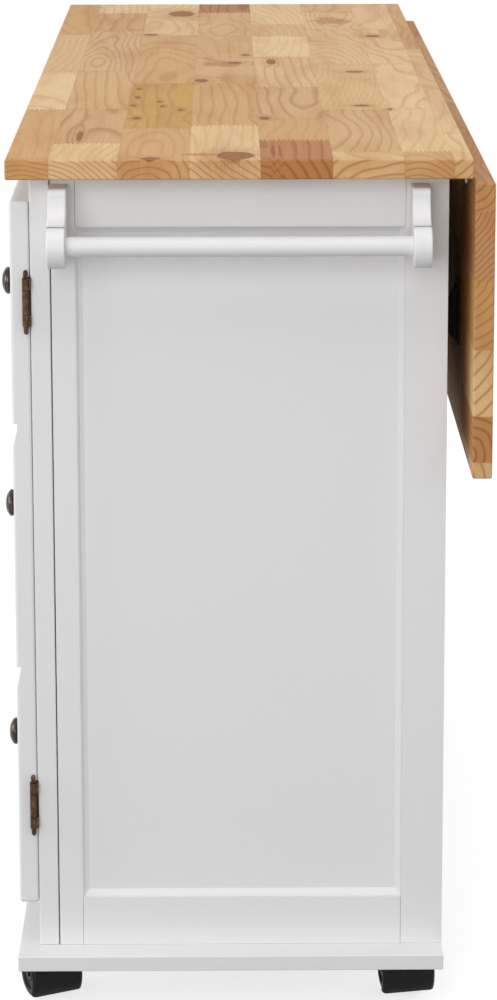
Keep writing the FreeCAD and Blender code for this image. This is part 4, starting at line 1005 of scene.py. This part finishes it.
def set_world(context, stage):
    """White where the camera or a reflection sees it, and a plain level of light elsewhere."""
    art = Finish("studio", "worlds")
    strength = art.range(art.seen(), 0.0, 1.0, stage.sky, 1.0, smooth=False)
    background = art.add("Background", {"Color": grey(1), "Strength": strength})
    art.add("OutputWorld", {0: background.outputs[0]})
    context.scene.world = art.material


def lay_floor(context):
    """A pale floor. Where the camera sees it, some of its light is its own, so that it meets the white
    backdrop, and the shadow stays."""
    reach, white_from, white_to = 14.0, 1.6, 4.0
    mesh = bpy.data.meshes.new("floor")
    mesh.from_pydata([(-reach, -reach, 0), (reach, -reach, 0), (reach, reach, 0), (-reach, reach, 0)], [],
                     [(0, 1, 2, 3)])
    art = Finish("pale floor")
    shader = art.add("BsdfPrincipled", {"Base Color": grey(0.22), "Roughness": 0.9, "Specular IOR Level": 0.1})
    glow = art.add("Emission", {"Color": grey(1), "Strength": 0.74})
    lit = art.add("BsdfPrincipled", {"Base Color": grey(0.40), "Roughness": 0.9, "Specular IOR Level": 0.0})
    both = art.add("AddShader", {0: glow.outputs[0], 1: lit.outputs[0]})
    away = art.add("VectorMath", {0: art.place}, operation="LENGTH").outputs["Value"]
    far = art.range(away, white_from, white_to)
    white = art.add("Emission", {"Color": grey(1), "Strength": 1.0})
    shown = art.add("MixShader", {0: far, 1: both.outputs[0], 2: white.outputs[0]})
    floor = art.add("MixShader", {0: art.seen(), 1: shader.outputs[0], 2: shown.outputs[0]})
    art.add("OutputMaterial", {0: floor.outputs[0]})
    mesh.materials.append(art.material)
    obj = bpy.data.objects.new("floor", mesh)
    context.scene.collection.objects.link(obj)
    return obj


# ------------------------------------------------------------------- panel
OPERATORS = (
    ISLAND_OT_worktop,
    ISLAND_OT_cabinet,
    ISLAND_OT_fronts,
    ISLAND_OT_knobs,
    ISLAND_OT_door_hinges,
    ISLAND_OT_towel_rack,
    ISLAND_OT_leaf_hardware,
    ISLAND_OT_casters,
    ISLAND_OT_stage,
)


class ISLAND_PT_panel(Panel):
    """Lists the island's pieces"""

    bl_idname = "ISLAND_PT_panel"
    bl_label = "Kitchen island"
    bl_space_type = "VIEW_3D"
    bl_region_type = "UI"
    bl_category = "Island"

    def draw(self, context):
        for operator in OPERATORS:
            self.layout.operator(operator.bl_idname)


def register():
    for settings in SETTINGS.values():
        bpy.utils.register_class(settings)
    for name, settings in SETTINGS.items():
        setattr(bpy.types.Scene, name, PointerProperty(type=settings))
    for operator in OPERATORS:
        bpy.utils.register_class(operator)
    bpy.utils.register_class(ISLAND_PT_panel)


def unregister():
    bpy.utils.unregister_class(ISLAND_PT_panel)
    for operator in reversed(OPERATORS):
        bpy.utils.unregister_class(operator)
    for name, settings in SETTINGS.items():
        delattr(bpy.types.Scene, name)
        bpy.utils.unregister_class(settings)


def main():
    register()
    for operator in OPERATORS:
        piece = operator.bl_idname.split(".")[1]
        if getattr(bpy.ops.island, piece)() != {"FINISHED"}:
            raise RuntimeError(f"{operator.bl_label} was not finished")


if __name__ == "__main__":
    main()
